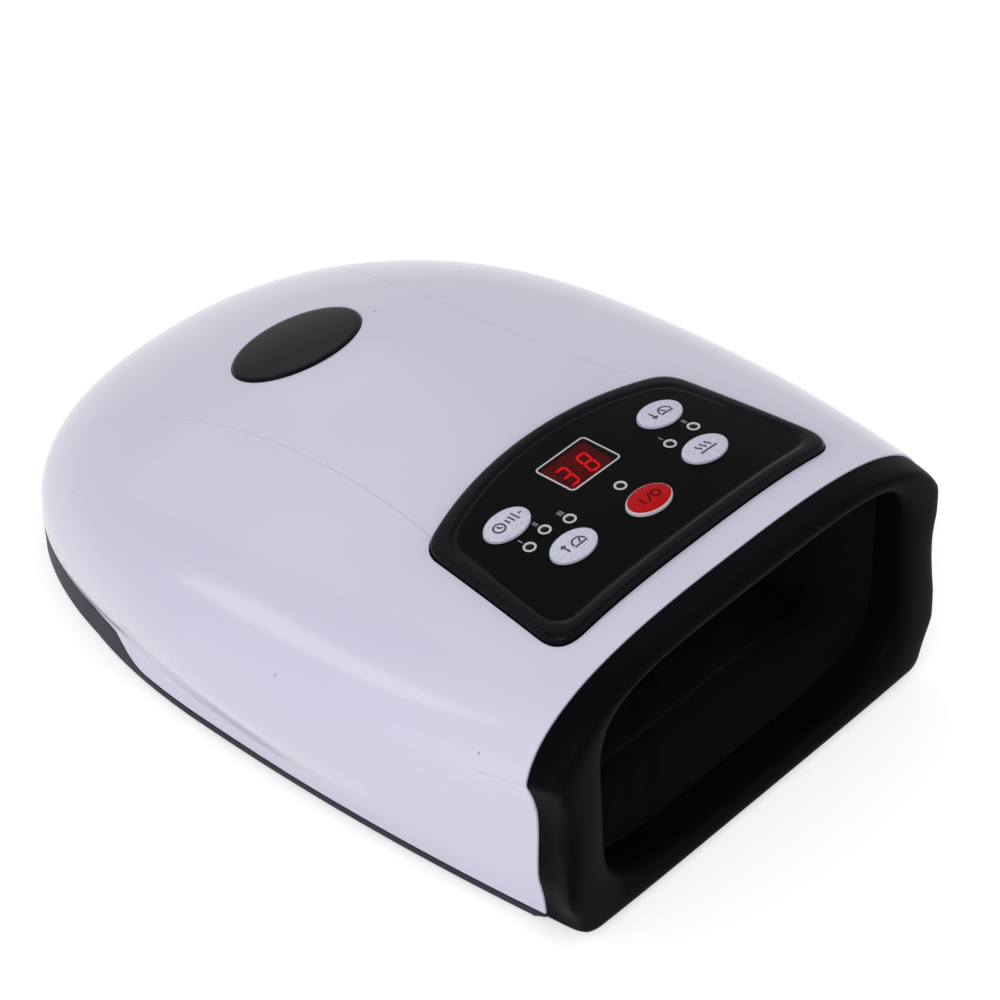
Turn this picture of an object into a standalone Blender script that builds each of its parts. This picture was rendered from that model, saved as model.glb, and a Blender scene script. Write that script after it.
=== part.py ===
"""Hand massager with a wide mouth for one hand.

A glossy D-shaped casing stands on a dark base. Inside it two air cells press two plates
on the hand, and a small pump with two valves at the back fills them.
All lengths are in metres. +X is to the right and +Z is up. The mouth faces -Y.
A depth is a distance from the front of the mouth towards the back.
"""

import math

import bmesh
import bpy
from mathutils import Matrix, Vector

# Casing: overall form
body_width = 0.190
body_length = 0.252
crown_height = 0.0878
crown_fall = 0.0117
crown_bend = 0.0245
widest_depth = 0.132
front_narrowing = 0.0172
shoulder_front = 0.050
shoulder_rear = 0.0121
tuck_front = 0.0072
tuck_middle = 0.0042
tuck_rear = 0.0005
plan_power = 2.26
top_power_share = 2.0
edge_power_share = 2.6
edge_lift_share = 0.4
tuck_reach_share = 1.6

# Casing: walls and edges
wall = 0.0024
fit_gap = 0.0003
overrun = 0.004
shell_front = 0.014
skirt_front = 0.0042
skirt_rear = 0.0100
notch_from_back = 0.084
notch_depth = body_length - notch_from_back
notch_run = 0.008

# Base tray
base_bottom = 0.0015
base_floor = 0.0024
base_front = 0.017
base_chamfer = 0.0008
lip_wall = 0.002
lip_gap = 0.0005
lip_top_front = 0.007
lip_top_side = 0.0115
lip_step_depth = 0.030

# Rear cover between the two seams
seam_half_width = 0.0383
seam_flare = 0.0063
seam_waist_from_back = 0.114
seam_waist_depth = body_length - seam_waist_from_back
seam_flare_run = 0.060
seam_overlap = 0.001

# Control fascia
fascia_back_half = 0.0486
fascia_back_depth = 0.080
fascia_back_bulge = 0.0095
fascia_front_half = 0.0552
fascia_front_depth = 0.0246
fascia_back_round = 0.006
fascia_front_round = 0.009
fascia_raise = 0.0022
fascia_under = 0.0008
membrane_border = 0.0045
membrane_recess = 0.0006

# Keys, lights and display
key_half_length = 0.0075
key_half_width = 0.0053
key_proud = 0.0009
key_crown = 0.0005
key_crown_share = 0.78
key_travel = 0.0008
rear_key_side = 0.0305
rear_key_depth = 0.067
front_key_side = 0.0262
front_key_depth = 0.0468
power_key_depth = 0.0436
light_radius = 0.0017
display_half_length = 0.0098
display_half_width = 0.0073
display_depth = 0.0694
display_corner = 0.0015
lens_thickness = 0.0012
light_places = {
    "timer_light_1": (-0.0330, 0.0563),
    "timer_light_2": (-0.0257, 0.0577),
    "timer_light_3": (-0.0185, 0.0553),
    "power_light": (0.0, 0.0539),
    "level_light_1": (0.0222, 0.0558),
    "level_light_2": (0.0325, 0.0564),
}

# Badge
badge_half_length = 0.0218
badge_half_width = 0.0153
badge_from_back = 0.0715
badge_depth = body_length - badge_from_back
badge_sunk = 0.0012
badge_proud = 0.0009

# Control board
board_side_inset = 0.0132
board_front_inset = 0.0064
board_back_reach = 0.003
board_drop = 0.0168
board_half_width = fascia_front_half - board_side_inset
board_front = fascia_front_depth + board_front_inset
board_back = fascia_back_depth + board_back_reach
board_top = crown_height - board_drop
board_thickness = 0.0016
switch_half = 0.003
switch_height = 0.0027
display_block_height = 0.0085

# Mouth bezel, its clamp ring and the cloth throat
mouth_side_inset = 0.0168
mouth_drop = 0.0058
mouth_half_width = body_width / 2 - front_narrowing - mouth_side_inset
mouth_bottom = 0.009
mouth_top = crown_height - mouth_drop
mouth_centre = (mouth_bottom + mouth_top) / 2
mouth_power = 5.0
bezel_inset = 0.0004
bezel_lean = 0.004
bezel_round = 0.005
bezel_inner_round = 0.004
bezel_front_step = 0.0012
bezel_face_step = 0.0008
bezel_front_share = 0.13
bezel_middle_share = 0.45
bezel_face_share = 0.86
clamp_ring_thickness = 0.0024
throat_wall = 0.001
throat_back = 0.0325
throat_power = 6.0

# Hand space and its plates
space_inset = 0.0055
space_half_width = mouth_half_width - space_inset
plate_gap = 0.0015
plate_from_back = 0.092
plate_front = throat_back + plate_gap
plate_back = body_length - plate_from_back
pad_clearance = 0.0008
tray_drop = 0.0029
tray_fall = 0.0125
tray_top_front = board_top - board_thickness - tray_drop
tray_top_back = tray_top_front - tray_fall
tray_thickness = 0.002
tray_wall = 0.002
air_cell_height = 0.0036
air_cell_side_step = 0.004
press_plate_thickness = 0.003
pad_cover_thickness = 0.0024
heat_film_thickness = 0.0005
massage_plate_thickness = 0.0022
nub_radius = 0.0045
nub_height = 0.0022
nub_top_share = 0.55
palm_cover_thickness = 0.0016
sleeve_wall = 0.0018
sleeve_bottom = 0.0140
standoff_radius = 0.003
standoff_inset = 0.004

# Pump
pump_axis_height = 0.0195
pump_from_back = 0.059
pump_axis_depth = body_length - pump_from_back
pump_radius = 0.014
motor_side_inset = 0.039
motor_right = -0.028
motor_left = motor_side_inset - body_width / 2
motor_length = motor_right - motor_left
housing_length = 0.0145
housing_wall = 0.0016
diaphragm_thickness = 0.003
head_length = 0.010
shaft_radius = 0.001
shaft_clearance = 0.0003
shaft_tail = 0.004
crank_radius = 0.005
crank_thickness = 0.004
crank_pin_radius = 0.0008
crank_pin_offset = 0.0028
crank_pin_length = 0.0016
swash_radius = 0.009
swash_thickness = 0.0022
nipple_radius = 0.0013
nipple_length = 0.0045
cradle_thickness = 0.005
cradle_half_width = 0.009

# Valves, manifold and hoses
manifold_left = 0.0105
manifold_width = 0.007
manifold_front_reach = 0.017
manifold_back_reach = 0.013
manifold_front = pump_axis_depth - manifold_front_reach
manifold_back = pump_axis_depth + manifold_back_reach
manifold_height = 0.0235
valve_left = 0.0215
valve_length = 0.018
valve_half_width = 0.006
valve_height = 0.014
valve_front_reach = 0.0095
valve_back_reach = 0.0055
valve_depths = (pump_axis_depth - valve_front_reach, pump_axis_depth + valve_back_reach)
plunger_radius = 0.0026
plunger_length = 0.0125
plunger_travel = 0.0015
valve_bore_end = 0.0025
hose_radius = 0.0022
hose_bore = 0.0016
cell_hose_radius = 0.0016
cell_hose_side = 0.0140

# Power board and its socket
power_board_left = 0.002
power_board_right = 0.036
power_board_gap = 0.004
power_board_from_back = 0.0135
power_board_front = manifold_back + power_board_gap
power_board_back = body_length - power_board_from_back
power_board_bottom = 0.0060
socket_side = 0.020
socket_height = 0.0155
socket_radius = 0.0036
socket_bore = 0.0028
socket_pin = 0.001
socket_block_half = 0.0048
socket_block_length = 0.010
socket_block_top = 0.0198

# Fasteners and feet
screw_head_radius = 0.003
screw_head_height = 0.0016
screw_shank_radius = 0.0015
screw_length = 0.017
boss_radius = 0.0052
boss_top = 0.0145
post_radius = 0.0042
screw_front_inset = 0.028
screw_rear_inset = 0.033
screw_from_back = 0.066
screw_front_side = body_width / 2 - screw_front_inset
screw_front_depth = 0.045
screw_rear_side = body_width / 2 - screw_rear_inset
screw_rear_depth = body_length - screw_from_back
foot_radius = 0.007
foot_height = 0.0012
foot_chamfer = 0.0003
foot_front_inset = 0.043
foot_rear_inset = 0.045
foot_from_back = 0.046
foot_front_side = body_width / 2 - foot_front_inset
foot_front_depth = 0.036
foot_rear_side = body_width / 2 - foot_rear_inset
foot_rear_depth = body_length - foot_from_back

# How finely the round forms are drawn
side_rows = 6
side_shares = (0.25, 0.5, 0.75)
turn_shares = (0.12, 0.24, 0.36, 0.48, 0.61, 0.74, 0.87, 1.0)
top_steps = 8
skirt_steps = 5
badge_turns = 26
key_turns = 18
wide_turns = 16
round_turns = 12
small_turns = 8
fascia_grid = (14, 7)
patch_grid = (7, 4)


def depth_share(depth):
    """How far back a depth is, from 0 at the mouth to 1 at the back."""
    return min(max(depth / body_length, 0.0), 1.0)


def crown(depth):
    share = depth_share(depth)
    return crown_height - crown_fall * share - crown_bend * share * share


def shoulder(depth):
    return shoulder_front + (shoulder_rear - shoulder_front) * depth_share(depth)


def top_power(depth):
    return top_power_share + (1 - depth_share(depth)) ** 2


def edge_power(depth):
    return edge_power_share + edge_lift_share * (1 - depth_share(depth)) ** 2


def half_width(depth):
    """Half of the casing's width ahead of its widest depth."""
    share = max(widest_depth - depth, 0.0) / widest_depth
    return body_width / 2 - front_narrowing * share * share


def tuck_in(depth, height):
    """How far the side has drawn in at a height under the shoulder."""
    share = max(shoulder(depth) - height, 0.0) / shoulder(depth)
    back = depth_share(depth)
    most = tuck_front + (tuck_rear - tuck_front) * back ** 2 + 4 * tuck_middle * back * (1 - back)
    return most * (1 - math.cos(math.pi * min(1.0, tuck_reach_share * share))) / 2


def plan_share(side, depth, inset=0.0):
    """0 on the casing's centre line and 1 on its widest outline."""
    if depth < widest_depth:
        return abs(side) / (half_width(depth) - inset)
    across = (abs(side) / (body_width / 2 - inset)) ** plan_power
    along = ((depth - widest_depth) / (body_length - widest_depth - inset)) ** plan_power
    return (across + along) ** (1 / plan_power)


def top_height(side, depth, inset=0.0):
    """Height of the casing's top, or of a surface that lies inset under it."""
    share = min(plan_share(side, depth, inset), 1.0)
    rise = (1 - share ** top_power(depth)) ** (1 / edge_power(depth))
    return shoulder(depth) + (crown(depth) - inset - shoulder(depth)) * rise


def top_slope(side, depth):
    """Rise of the top to the right and towards the back."""
    step = fit_gap
    right = (top_height(side + step, depth) - top_height(side - step, depth)) / (2 * step)
    back = (top_height(side, depth + step) - top_height(side, depth - step)) / (2 * step)
    return right, back


def skirt_height(depth):
    """Lower edge of the white casing, with the step on its flanks."""
    share = min(max((depth - notch_depth) / notch_run, 0.0), 1.0)
    return skirt_front + (skirt_rear - skirt_front) * share


def place(side, depth, height):
    """A point of the model from its side, its depth and its height."""
    return Vector((side, depth - body_length / 2, height))


def turn_angle(depth):
    """The angle at which the rear outline reaches a depth."""
    share = (depth - widest_depth) / (body_length - widest_depth)
    return math.asin(share ** (plan_power / 2))


def stations(start):
    """Places along the right half of the outline, as (depth, None) or (None, angle)."""
    rows = [start + (widest_depth - start) * i / side_rows for i in range(side_rows + 1)]
    places = [(depth, None) for depth in rows]
    for share in side_shares:
        places.append((None, turn_angle(widest_depth + (notch_depth - widest_depth) * share)))
    places.append((None, turn_angle(notch_depth)))
    notch_end = turn_angle(notch_depth + notch_run)
    places.append((None, notch_end))
    for share in turn_shares:
        places.append((None, notch_end + (math.pi / 2 - notch_end) * share))
    return places


def outline_point(station, draw_in, share=1.0):
    """Side and depth at a station, drawn in from the widest outline."""
    depth, angle = station
    if angle is None:
        return share * (half_width(depth) - draw_in), depth
    across = (body_width / 2 - draw_in) * max(math.cos(angle), 0.0) ** (2 / plan_power)
    along = (body_length - widest_depth - draw_in) * math.sin(angle) ** (2 / plan_power)
    return share * across, widest_depth + share * along


def profile(station, inset):
    """One rib of the casing, from its centre line over the shoulder to its lower edge."""
    points = []
    nominal = outline_point(station, 0.0)[1]
    for i in range(top_steps + 1):
        angle = math.pi / 2 * i / top_steps
        share = math.sin(angle) ** (2 / top_power(nominal))
        side, depth = outline_point(station, inset, share)
        points.append((side, depth, top_height(side, depth, inset)))
    upper, lower = shoulder(nominal), skirt_height(nominal)
    for i in range(1, skirt_steps + 1):
        height = upper + (lower - upper) * i / skirt_steps
        side, depth = outline_point(station, inset + tuck_in(nominal, height))
        points.append((side, depth, height))
    return points


def both_sides(start, inset):
    """All ribs from the left front corner round the back to the right front corner."""
    right = [profile(station, inset) for station in stations(start)]
    left = [[(-side, depth, height) for side, depth, height in rib] for rib in right]
    return left[:-1] + right[::-1]


def four_places(front_side, front_depth, rear_side, rear_depth):
    """Places at front left, front right, rear left and rear right, as (side, depth)."""
    front = [(-front_side, front_depth), (front_side, front_depth)]
    return front + [(-rear_side, rear_depth), (rear_side, rear_depth)]


def screw_places():
    return four_places(screw_front_side, screw_front_depth, screw_rear_side, screw_rear_depth)


def foot_places():
    return four_places(foot_front_side, foot_front_depth, foot_rear_side, foot_rear_depth)


def clear_scene():
    for old in list(bpy.data.objects):
        bpy.data.objects.remove(old, do_unlink=True)


def make_material(name, colour, roughness, metallic=0.0):
    material = bpy.data.materials.new(name)
    material.use_nodes = True
    shader = material.node_tree.nodes["Principled BSDF"]
    shader.inputs["Base Color"].default_value = (*colour, 1.0)
    shader.inputs["Roughness"].default_value = roughness
    shader.inputs["Metallic"].default_value = metallic
    return material


def finish_mesh(name, work, material=None):
    """Turns a closed bmesh into an object whose faces point out."""
    bmesh.ops.remove_doubles(work, verts=work.verts, dist=fit_gap / 100)
    bmesh.ops.recalc_face_normals(work, faces=work.faces)
    mesh = bpy.data.meshes.new(name)
    work.to_mesh(mesh)
    work.free()
    mesh.shade_smooth()
    mesh.set_sharp_from_angle(angle=math.radians(35))
    solid = bpy.data.objects.new(name, mesh)
    bpy.context.scene.collection.objects.link(solid)
    if material:
        mesh.materials.append(material)
    return solid


def put_origin(solid, point):
    """Sets the origin of a moving piece without moving its faces."""
    solid.data.transform(Matrix.Translation(solid.location - point))
    solid.location = point


def loft(name, loops, material=None, closed=False):
    """A skin over loops of equal count. The ends are capped, or joined where closed."""
    work = bmesh.new()
    rows = [[work.verts.new(point) for point in loop] for loop in loops]
    count = len(rows[0])
    pairs = list(zip(rows, rows[1:])) + ([(rows[-1], rows[0])] if closed else [])
    for lower, upper in pairs:
        for i in range(count):
            j = (i + 1) % count
            work.faces.new((lower[i], lower[j], upper[j], upper[i]))
    if not closed:
        work.faces.new(rows[0])
        work.faces.new(rows[-1][::-1])
    return finish_mesh(name, work, material)


def prism(name, outline, low, high, material=None):
    """An upright solid over an outline of (side, depth) points."""
    loops = [[place(side, depth, height) for side, depth in outline] for height in (low, high)]
    return loft(name, loops, material)


def block(name, sides, depths, heights, material=None):
    outline = [(sides[0], depths[0]), (sides[1], depths[0]), (sides[1], depths[1]), (sides[0], depths[1])]
    return prism(name, outline, heights[0], heights[1], material)


def wedge_block(name, sides, depths, height_at, thickness, material=None):
    """A block whose top and bottom follow the sloping tray."""
    corners = [(sides[0], depths[0]), (sides[1], depths[0]), (sides[1], depths[1]), (sides[0], depths[1])]
    low = [place(side, depth, height_at(depth) - thickness) for side, depth in corners]
    high = [place(side, depth, height_at(depth)) for side, depth in corners]
    return loft(name, [low, high], material)


def circle(radius, count):
    turns = [2 * math.pi * i / count for i in range(count)]
    return [(radius * math.cos(turn), radius * math.sin(turn)) for turn in turns]


def upright(name, centre, rings, count, material=None):
    """A turned solid on an upright axis, from (radius, height) rings."""
    loops = []
    for radius, height in rings:
        loops.append([place(centre[0] + x, centre[1] + y, height) for x, y in circle(radius, count)])
    return loft(name, loops, material)


def along_x(name, centre, rings, count, material=None, closed=False):
    """A turned solid on an axis along X, from (radius, side) rings."""
    loops = []
    for radius, side in rings:
        loops.append([place(side, centre[0] + x, centre[1] + y) for x, y in circle(radius, count)])
    return loft(name, loops, material, closed)


def along_y(name, centre, rings, count, material=None, closed=False):
    """A turned solid on an axis along Y, from (radius, depth) rings."""
    loops = []
    for radius, depth in rings:
        loops.append([place(centre[0] + x, depth, centre[1] + y) for x, y in circle(radius, count)])
    return loft(name, loops, material, closed)


def combine(target, tool, operation):
    """Joins, cuts or intersects target with tool, and removes the tool."""
    step = target.modifiers.new(operation, "BOOLEAN")
    step.operation = operation
    step.solver = "EXACT"
    step.object = tool
    bpy.context.view_layer.update()
    result = target.evaluated_get(bpy.context.evaluated_depsgraph_get())
    mesh = bpy.data.meshes.new_from_object(result)
    target.modifiers.remove(step)
    slots = list(target.data.materials)
    target.data = mesh
    mesh.materials.clear()
    for slot in slots:
        mesh.materials.append(slot)
    bpy.data.objects.remove(tool, do_unlink=True)
    mesh.shade_smooth()
    mesh.set_sharp_from_angle(angle=math.radians(35))
    return target


def casing_solid(name, outer_inset, inner_inset, material=None):
    """The wall between two surfaces of the casing, open at the mouth and underneath."""
    work = bmesh.new()
    grids = []
    for inset in (outer_inset, inner_inset):
        ribs = both_sides(shell_front, inset)
        grids.append([[work.verts.new(place(*point)) for point in rib] for rib in ribs])
    for grid in grids:
        for first, second in zip(grid, grid[1:]):
            for i in range(len(first) - 1):
                work.faces.new((first[i], first[i + 1], second[i + 1], second[i]))
    outer, inner = grids
    for first, second in ((outer[0], inner[0]), (outer[-1], inner[-1])):
        for i in range(len(first) - 1):
            work.faces.new((first[i], first[i + 1], second[i + 1], second[i]))
    for i in range(len(outer) - 1):
        work.faces.new((outer[i][-1], outer[i + 1][-1], inner[i + 1][-1], inner[i][-1]))
    return finish_mesh(name, work, material)


def top_sheet(name, sides, depths, over, under, grid, material=None):
    """A sheet that follows the casing's top, from over above it to under below it."""
    columns, rows = grid
    work = bmesh.new()
    layers = []
    for inset in (-over, under):
        layer = []
        for j in range(rows + 1):
            depth = depths[0] + (depths[1] - depths[0]) * j / rows
            row = []
            for i in range(columns + 1):
                side = sides[0] + (sides[1] - sides[0]) * i / columns
                row.append(work.verts.new(place(side, depth, top_height(side, depth) - inset)))
            layer.append(row)
        layers.append(layer)
    upper, lower = layers
    for layer in layers:
        for near, far in zip(layer, layer[1:]):
            for i in range(columns):
                work.faces.new((near[i], near[i + 1], far[i + 1], far[i]))
    for j in range(rows):
        for i in (0, columns):
            work.faces.new((upper[j][i], upper[j + 1][i], lower[j + 1][i], lower[j][i]))
    for i in range(columns):
        for j in (0, rows):
            work.faces.new((upper[j][i], upper[j][i + 1], lower[j][i + 1], lower[j][i]))
    return finish_mesh(name, work, material)


def ellipse(centre, half_length, half_breadth, count):
    turns = [2 * math.pi * i / count for i in range(count)]
    return [
        (centre[0] + half_length * math.cos(turn), centre[1] + half_breadth * math.sin(turn))
        for turn in turns
    ]


def round_corners(corners, radii, steps):
    """An outline whose corners are replaced by smooth bends."""
    outline = []
    count = len(corners)
    for i, (corner, radius) in enumerate(zip(corners, radii)):
        here = Vector(corner)
        if radius == 0:
            outline.append(tuple(here))
            continue
        before = (Vector(corners[i - 1]) - here).normalized() * radius
        after = (Vector(corners[(i + 1) % count]) - here).normalized() * radius
        for j in range(steps + 1):
            share = j / steps
            bend = here + before * (1 - share) ** 2 + after * share**2
            outline.append(tuple(bend))
    return outline


def fascia_outline(grow, steps=4, arc_steps=8):
    """The fascia from above: a straight front, straight flanks and a bowed back."""
    front_half = fascia_front_half + grow
    back_half = fascia_back_half + grow
    front, back = fascia_front_depth - grow, fascia_back_depth + grow
    corners = [(-front_half, front), (front_half, front), (back_half, back)]
    radii = [fascia_front_round, fascia_front_round, fascia_back_round]
    for i in range(1, arc_steps):
        share = 1 - 2 * i / arc_steps
        corners.append((back_half * share, fascia_back(share) + grow))
        radii.append(0)
    corners.append((-back_half, back))
    radii.append(fascia_back_round)
    return round_corners(corners, radii, steps)


def seam_side(depth):
    """Half of the rear cover's width at a depth."""
    share = (depth - seam_waist_depth) / seam_flare_run
    return seam_half_width + seam_flare * share * share


def fascia_back(share):
    """Depth of the fascia's bowed back, at a share of its half width."""
    return fascia_back_depth + fascia_back_bulge * (1 - share * share)


def rear_cover_outline(grow, front_gap, steps=9, arc_steps=8):
    """The rear cover from above, from the fascia's bowed back to past the casing's end."""
    corner = seam_side(fascia_back_depth)
    start = fascia_back(corner / fascia_back_half) + front_gap
    end = body_length + overrun
    right = []
    for i in range(steps + 1):
        depth = start + (end - start) * i / steps
        right.append((seam_side(depth) + grow, depth))
    left = [(-side, depth) for side, depth in reversed(right)]
    bow = []
    for i in range(1, arc_steps):
        share = -1 + 2 * i / arc_steps
        bow.append((fascia_back_half * share, fascia_back(share) + front_gap))
    return right + left + bow


def section_loop(depth, inset, low):
    """The casing's outline across a depth, closed along the bottom."""
    station = (depth, None)
    rib = profile(station, inset)
    scaled = []
    for side, _, height in rib:
        scaled.append((side, max(height, low)))
    scaled[-1] = (scaled[-1][0], low)
    right = [(side, height) for side, height in reversed(scaled)]
    left = [(-side, height) for side, height in scaled[1:]]
    floor_count = 5
    floor = []
    for i in range(1, floor_count):
        share = -1 + 2 * i / floor_count
        floor.append((right[0][0] * share, low))
    return right + left + floor


def oval_towards(point, centre, half, up, down, power):
    """The point of a squarish oval that lies in the direction of another point."""
    x, z = point[0], point[1] - centre
    rise = up if z >= 0 else down
    reach = ((abs(x) / half) ** power + (abs(z) / rise) ** power) ** (1 / power)
    return x / reach, centre + z / reach


def mouth_loop(outer, grow):
    up = mouth_top - mouth_centre + grow
    down = mouth_centre - mouth_bottom + grow
    half = mouth_half_width + grow
    return [oval_towards(point, mouth_centre, half, up, down, mouth_power) for point in outer]


def tray_height(depth):
    """Top of the sloping tray over the hand space."""
    share = (depth - plate_front) / (plate_back - plate_front)
    return tray_top_front + (tray_top_back - tray_top_front) * share


def make_upper_shell(finish):
    shell = casing_solid("upper_shell", 0.0, wall, finish["white"])
    window = prism("window", fascia_outline(fit_gap), shoulder_front, crown_height + overrun)
    combine(shell, window, "DIFFERENCE")
    seams = rear_cover_outline(fit_gap / 2, -seam_overlap)
    gap = prism("gap", seams, 0, crown_height + overrun)
    combine(shell, gap, "DIFFERENCE")
    for side, depth in screw_places():
        low, high = [], []
        for x, y in circle(post_radius, round_turns):
            low.append(place(side + x, depth + y, boss_top + fit_gap))
            high.append(place(side + x, depth + y, top_height(side + x, depth + y, wall / 2)))
        combine(shell, loft("post", [low, high]), "UNION")
        hole = [
            (screw_shank_radius + fit_gap, boss_top - overrun),
            (screw_shank_radius + fit_gap, base_bottom + screw_length + overrun),
        ]
        combine(shell, upright("hole", (side, depth), hole, small_turns), "DIFFERENCE")
    return shell


def make_rear_cover(finish):
    cover = casing_solid("rear_cover", 0.0, wall, finish["white"])
    keep = prism("keep", rear_cover_outline(-fit_gap / 2, fit_gap), 0, crown_height + overrun)
    combine(cover, keep, "INTERSECT")
    recess = top_sheet(
        "recess",
        (-badge_half_length - overrun, badge_half_length + overrun),
        (badge_depth - badge_half_width - overrun, badge_depth + badge_half_width + overrun),
        overrun,
        badge_sunk,
        patch_grid,
    )
    half_length, half_breadth = badge_half_length + fit_gap, badge_half_width + fit_gap
    grown = ellipse((0, badge_depth), half_length, half_breadth, badge_turns)
    combine(recess, prism("rim", grown, 0, crown_height), "INTERSECT")
    combine(cover, recess, "DIFFERENCE")
    socket = [
        (socket_radius + fit_gap, body_length - 4 * overrun),
        (socket_radius + fit_gap, body_length + overrun),
    ]
    combine(cover, along_y("socket", (socket_side, socket_height), socket, round_turns), "DIFFERENCE")
    return cover


def make_badge(finish):
    badge = top_sheet(
        "badge",
        (-badge_half_length - overrun, badge_half_length + overrun),
        (badge_depth - badge_half_width - overrun, badge_depth + badge_half_width + overrun),
        badge_proud,
        badge_sunk - fit_gap,
        patch_grid,
        finish["black"],
    )
    outline = ellipse((0, badge_depth), badge_half_length, badge_half_width, badge_turns)
    return combine(badge, prism("rim", outline, 0, crown_height), "INTERSECT")


def key_places():
    """Every key with its side and its depth."""
    return {
        "timer_key": (-rear_key_side, rear_key_depth),
        "pressure_key": (-front_key_side, front_key_depth),
        "release_key": (rear_key_side, rear_key_depth),
        "heat_key": (front_key_side, front_key_depth),
        "power_key": (0, power_key_depth),
    }


def display_outline(grow):
    half_length, half_breadth = display_half_length + grow, display_half_width + grow
    low, high = display_depth - half_breadth, display_depth + half_breadth
    corners = [(-half_length, low), (half_length, low), (half_length, high), (-half_length, high)]
    return round_corners(corners, [display_corner] * 4, 2)


def make_fascia(finish):
    sides = (-fascia_front_half - overrun, fascia_front_half + overrun)
    depths = (fascia_front_depth - overrun, fascia_back_depth + fascia_back_bulge + overrun)
    fascia = top_sheet(
        "control_fascia", sides, depths, fascia_raise, fascia_under, fascia_grid, finish["black"]
    )
    outline = prism("outline", fascia_outline(0.0), shoulder_front, crown_height + overrun)
    combine(fascia, outline, "INTERSECT")
    sunk = membrane_recess - fascia_raise
    recess = top_sheet("recess", sides, depths, fascia_raise + overrun, sunk, fascia_grid)
    inner = fascia_outline(-membrane_border)
    combine(recess, prism("inner", inner, shoulder_front, crown_height + 2 * overrun), "INTERSECT")
    combine(fascia, recess, "DIFFERENCE")
    for centre in key_places().values():
        hole = ellipse(centre, key_half_length + fit_gap, key_half_width + fit_gap, key_turns)
        combine(fascia, prism("hole", hole, board_top, crown_height + overrun), "DIFFERENCE")
    for centre in light_places.values():
        rings = [(light_radius + fit_gap, board_top), (light_radius + fit_gap, crown_height + overrun)]
        combine(fascia, upright("hole", centre, rings, small_turns), "DIFFERENCE")
    window = prism("hole", display_outline(fit_gap), board_top, crown_height + overrun)
    return combine(fascia, window, "DIFFERENCE")


def membrane_height(side, depth):
    return top_height(side, depth) + fascia_raise - membrane_recess


def make_keys(finish):
    for name, centre in key_places().items():
        right, back = top_slope(*centre)
        middle = membrane_height(*centre)
        loops = []
        bottom = board_top + fit_gap + switch_height + key_travel + fit_gap
        outer = ellipse(centre, key_half_length, key_half_width, key_turns)
        loops.append([place(side, depth, bottom) for side, depth in outer])
        crown_length, crown_width = key_half_length * key_crown_share, key_half_width * key_crown_share
        inner = ellipse(centre, crown_length, crown_width, key_turns)
        for outline, proud in ((outer, key_proud), (inner, key_proud + key_crown)):
            loop = []
            for side, depth in outline:
                lean = right * (side - centre[0]) + back * (depth - centre[1])
                loop.append(place(side, depth, middle + lean + proud))
            loops.append(loop)
        key = loft(name, loops, finish["red"] if name == "power_key" else finish["silver"])
        put_origin(key, place(*centre, middle))


def make_lights(finish):
    for name, centre in light_places.items():
        rings = [(light_radius, board_top + fit_gap), (light_radius, membrane_height(*centre))]
        upright(name, centre, rings, small_turns, finish["pale"])


def make_display(finish):
    sides = (-display_half_length - overrun, display_half_length + overrun)
    depths = (
        display_depth - display_half_width - overrun,
        display_depth + display_half_width + overrun,
    )
    over = fascia_raise - membrane_recess
    under = lens_thickness - over
    lens = top_sheet("display_window", sides, depths, over, under, patch_grid, finish["smoke"])
    outline = prism("outline", display_outline(0.0), shoulder_front, crown_height + overrun)
    combine(lens, outline, "INTERSECT")
    low = board_top + fit_gap
    half_length, half_breadth = display_half_length - fit_gap, display_half_width - fit_gap
    block(
        "display_module",
        (-half_length, half_length),
        (display_depth - half_breadth, display_depth + half_breadth),
        (low, low + display_block_height),
        finish["matte"],
    )


def make_control_board(finish):
    block(
        "control_board",
        (-board_half_width, board_half_width),
        (board_front, board_back),
        (board_top - board_thickness, board_top),
        finish["green"],
    )
    low = board_top + fit_gap
    for name, (side, depth) in key_places().items():
        block(
            name.replace("key", "switch"),
            (side - switch_half, side + switch_half),
            (depth - switch_half, depth + switch_half),
            (low, low + switch_height),
            finish["matte"],
        )


def base_loop(inset, height_at):
    """A closed outline of the base, drawn in from the casing's side and from its own front."""
    start = base_front + inset
    right = []
    for station in stations(start):
        nominal = outline_point(station, 0.0)[1]
        height = height_at(nominal)
        side, depth = outline_point(station, inset + tuck_in(nominal, height))
        right.append((side, depth, height))
    left = [(-side, depth, height) for side, depth, height in reversed(right[:-1])]
    return [place(*point) for point in right + left]


def level(height):
    return lambda depth: height


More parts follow.
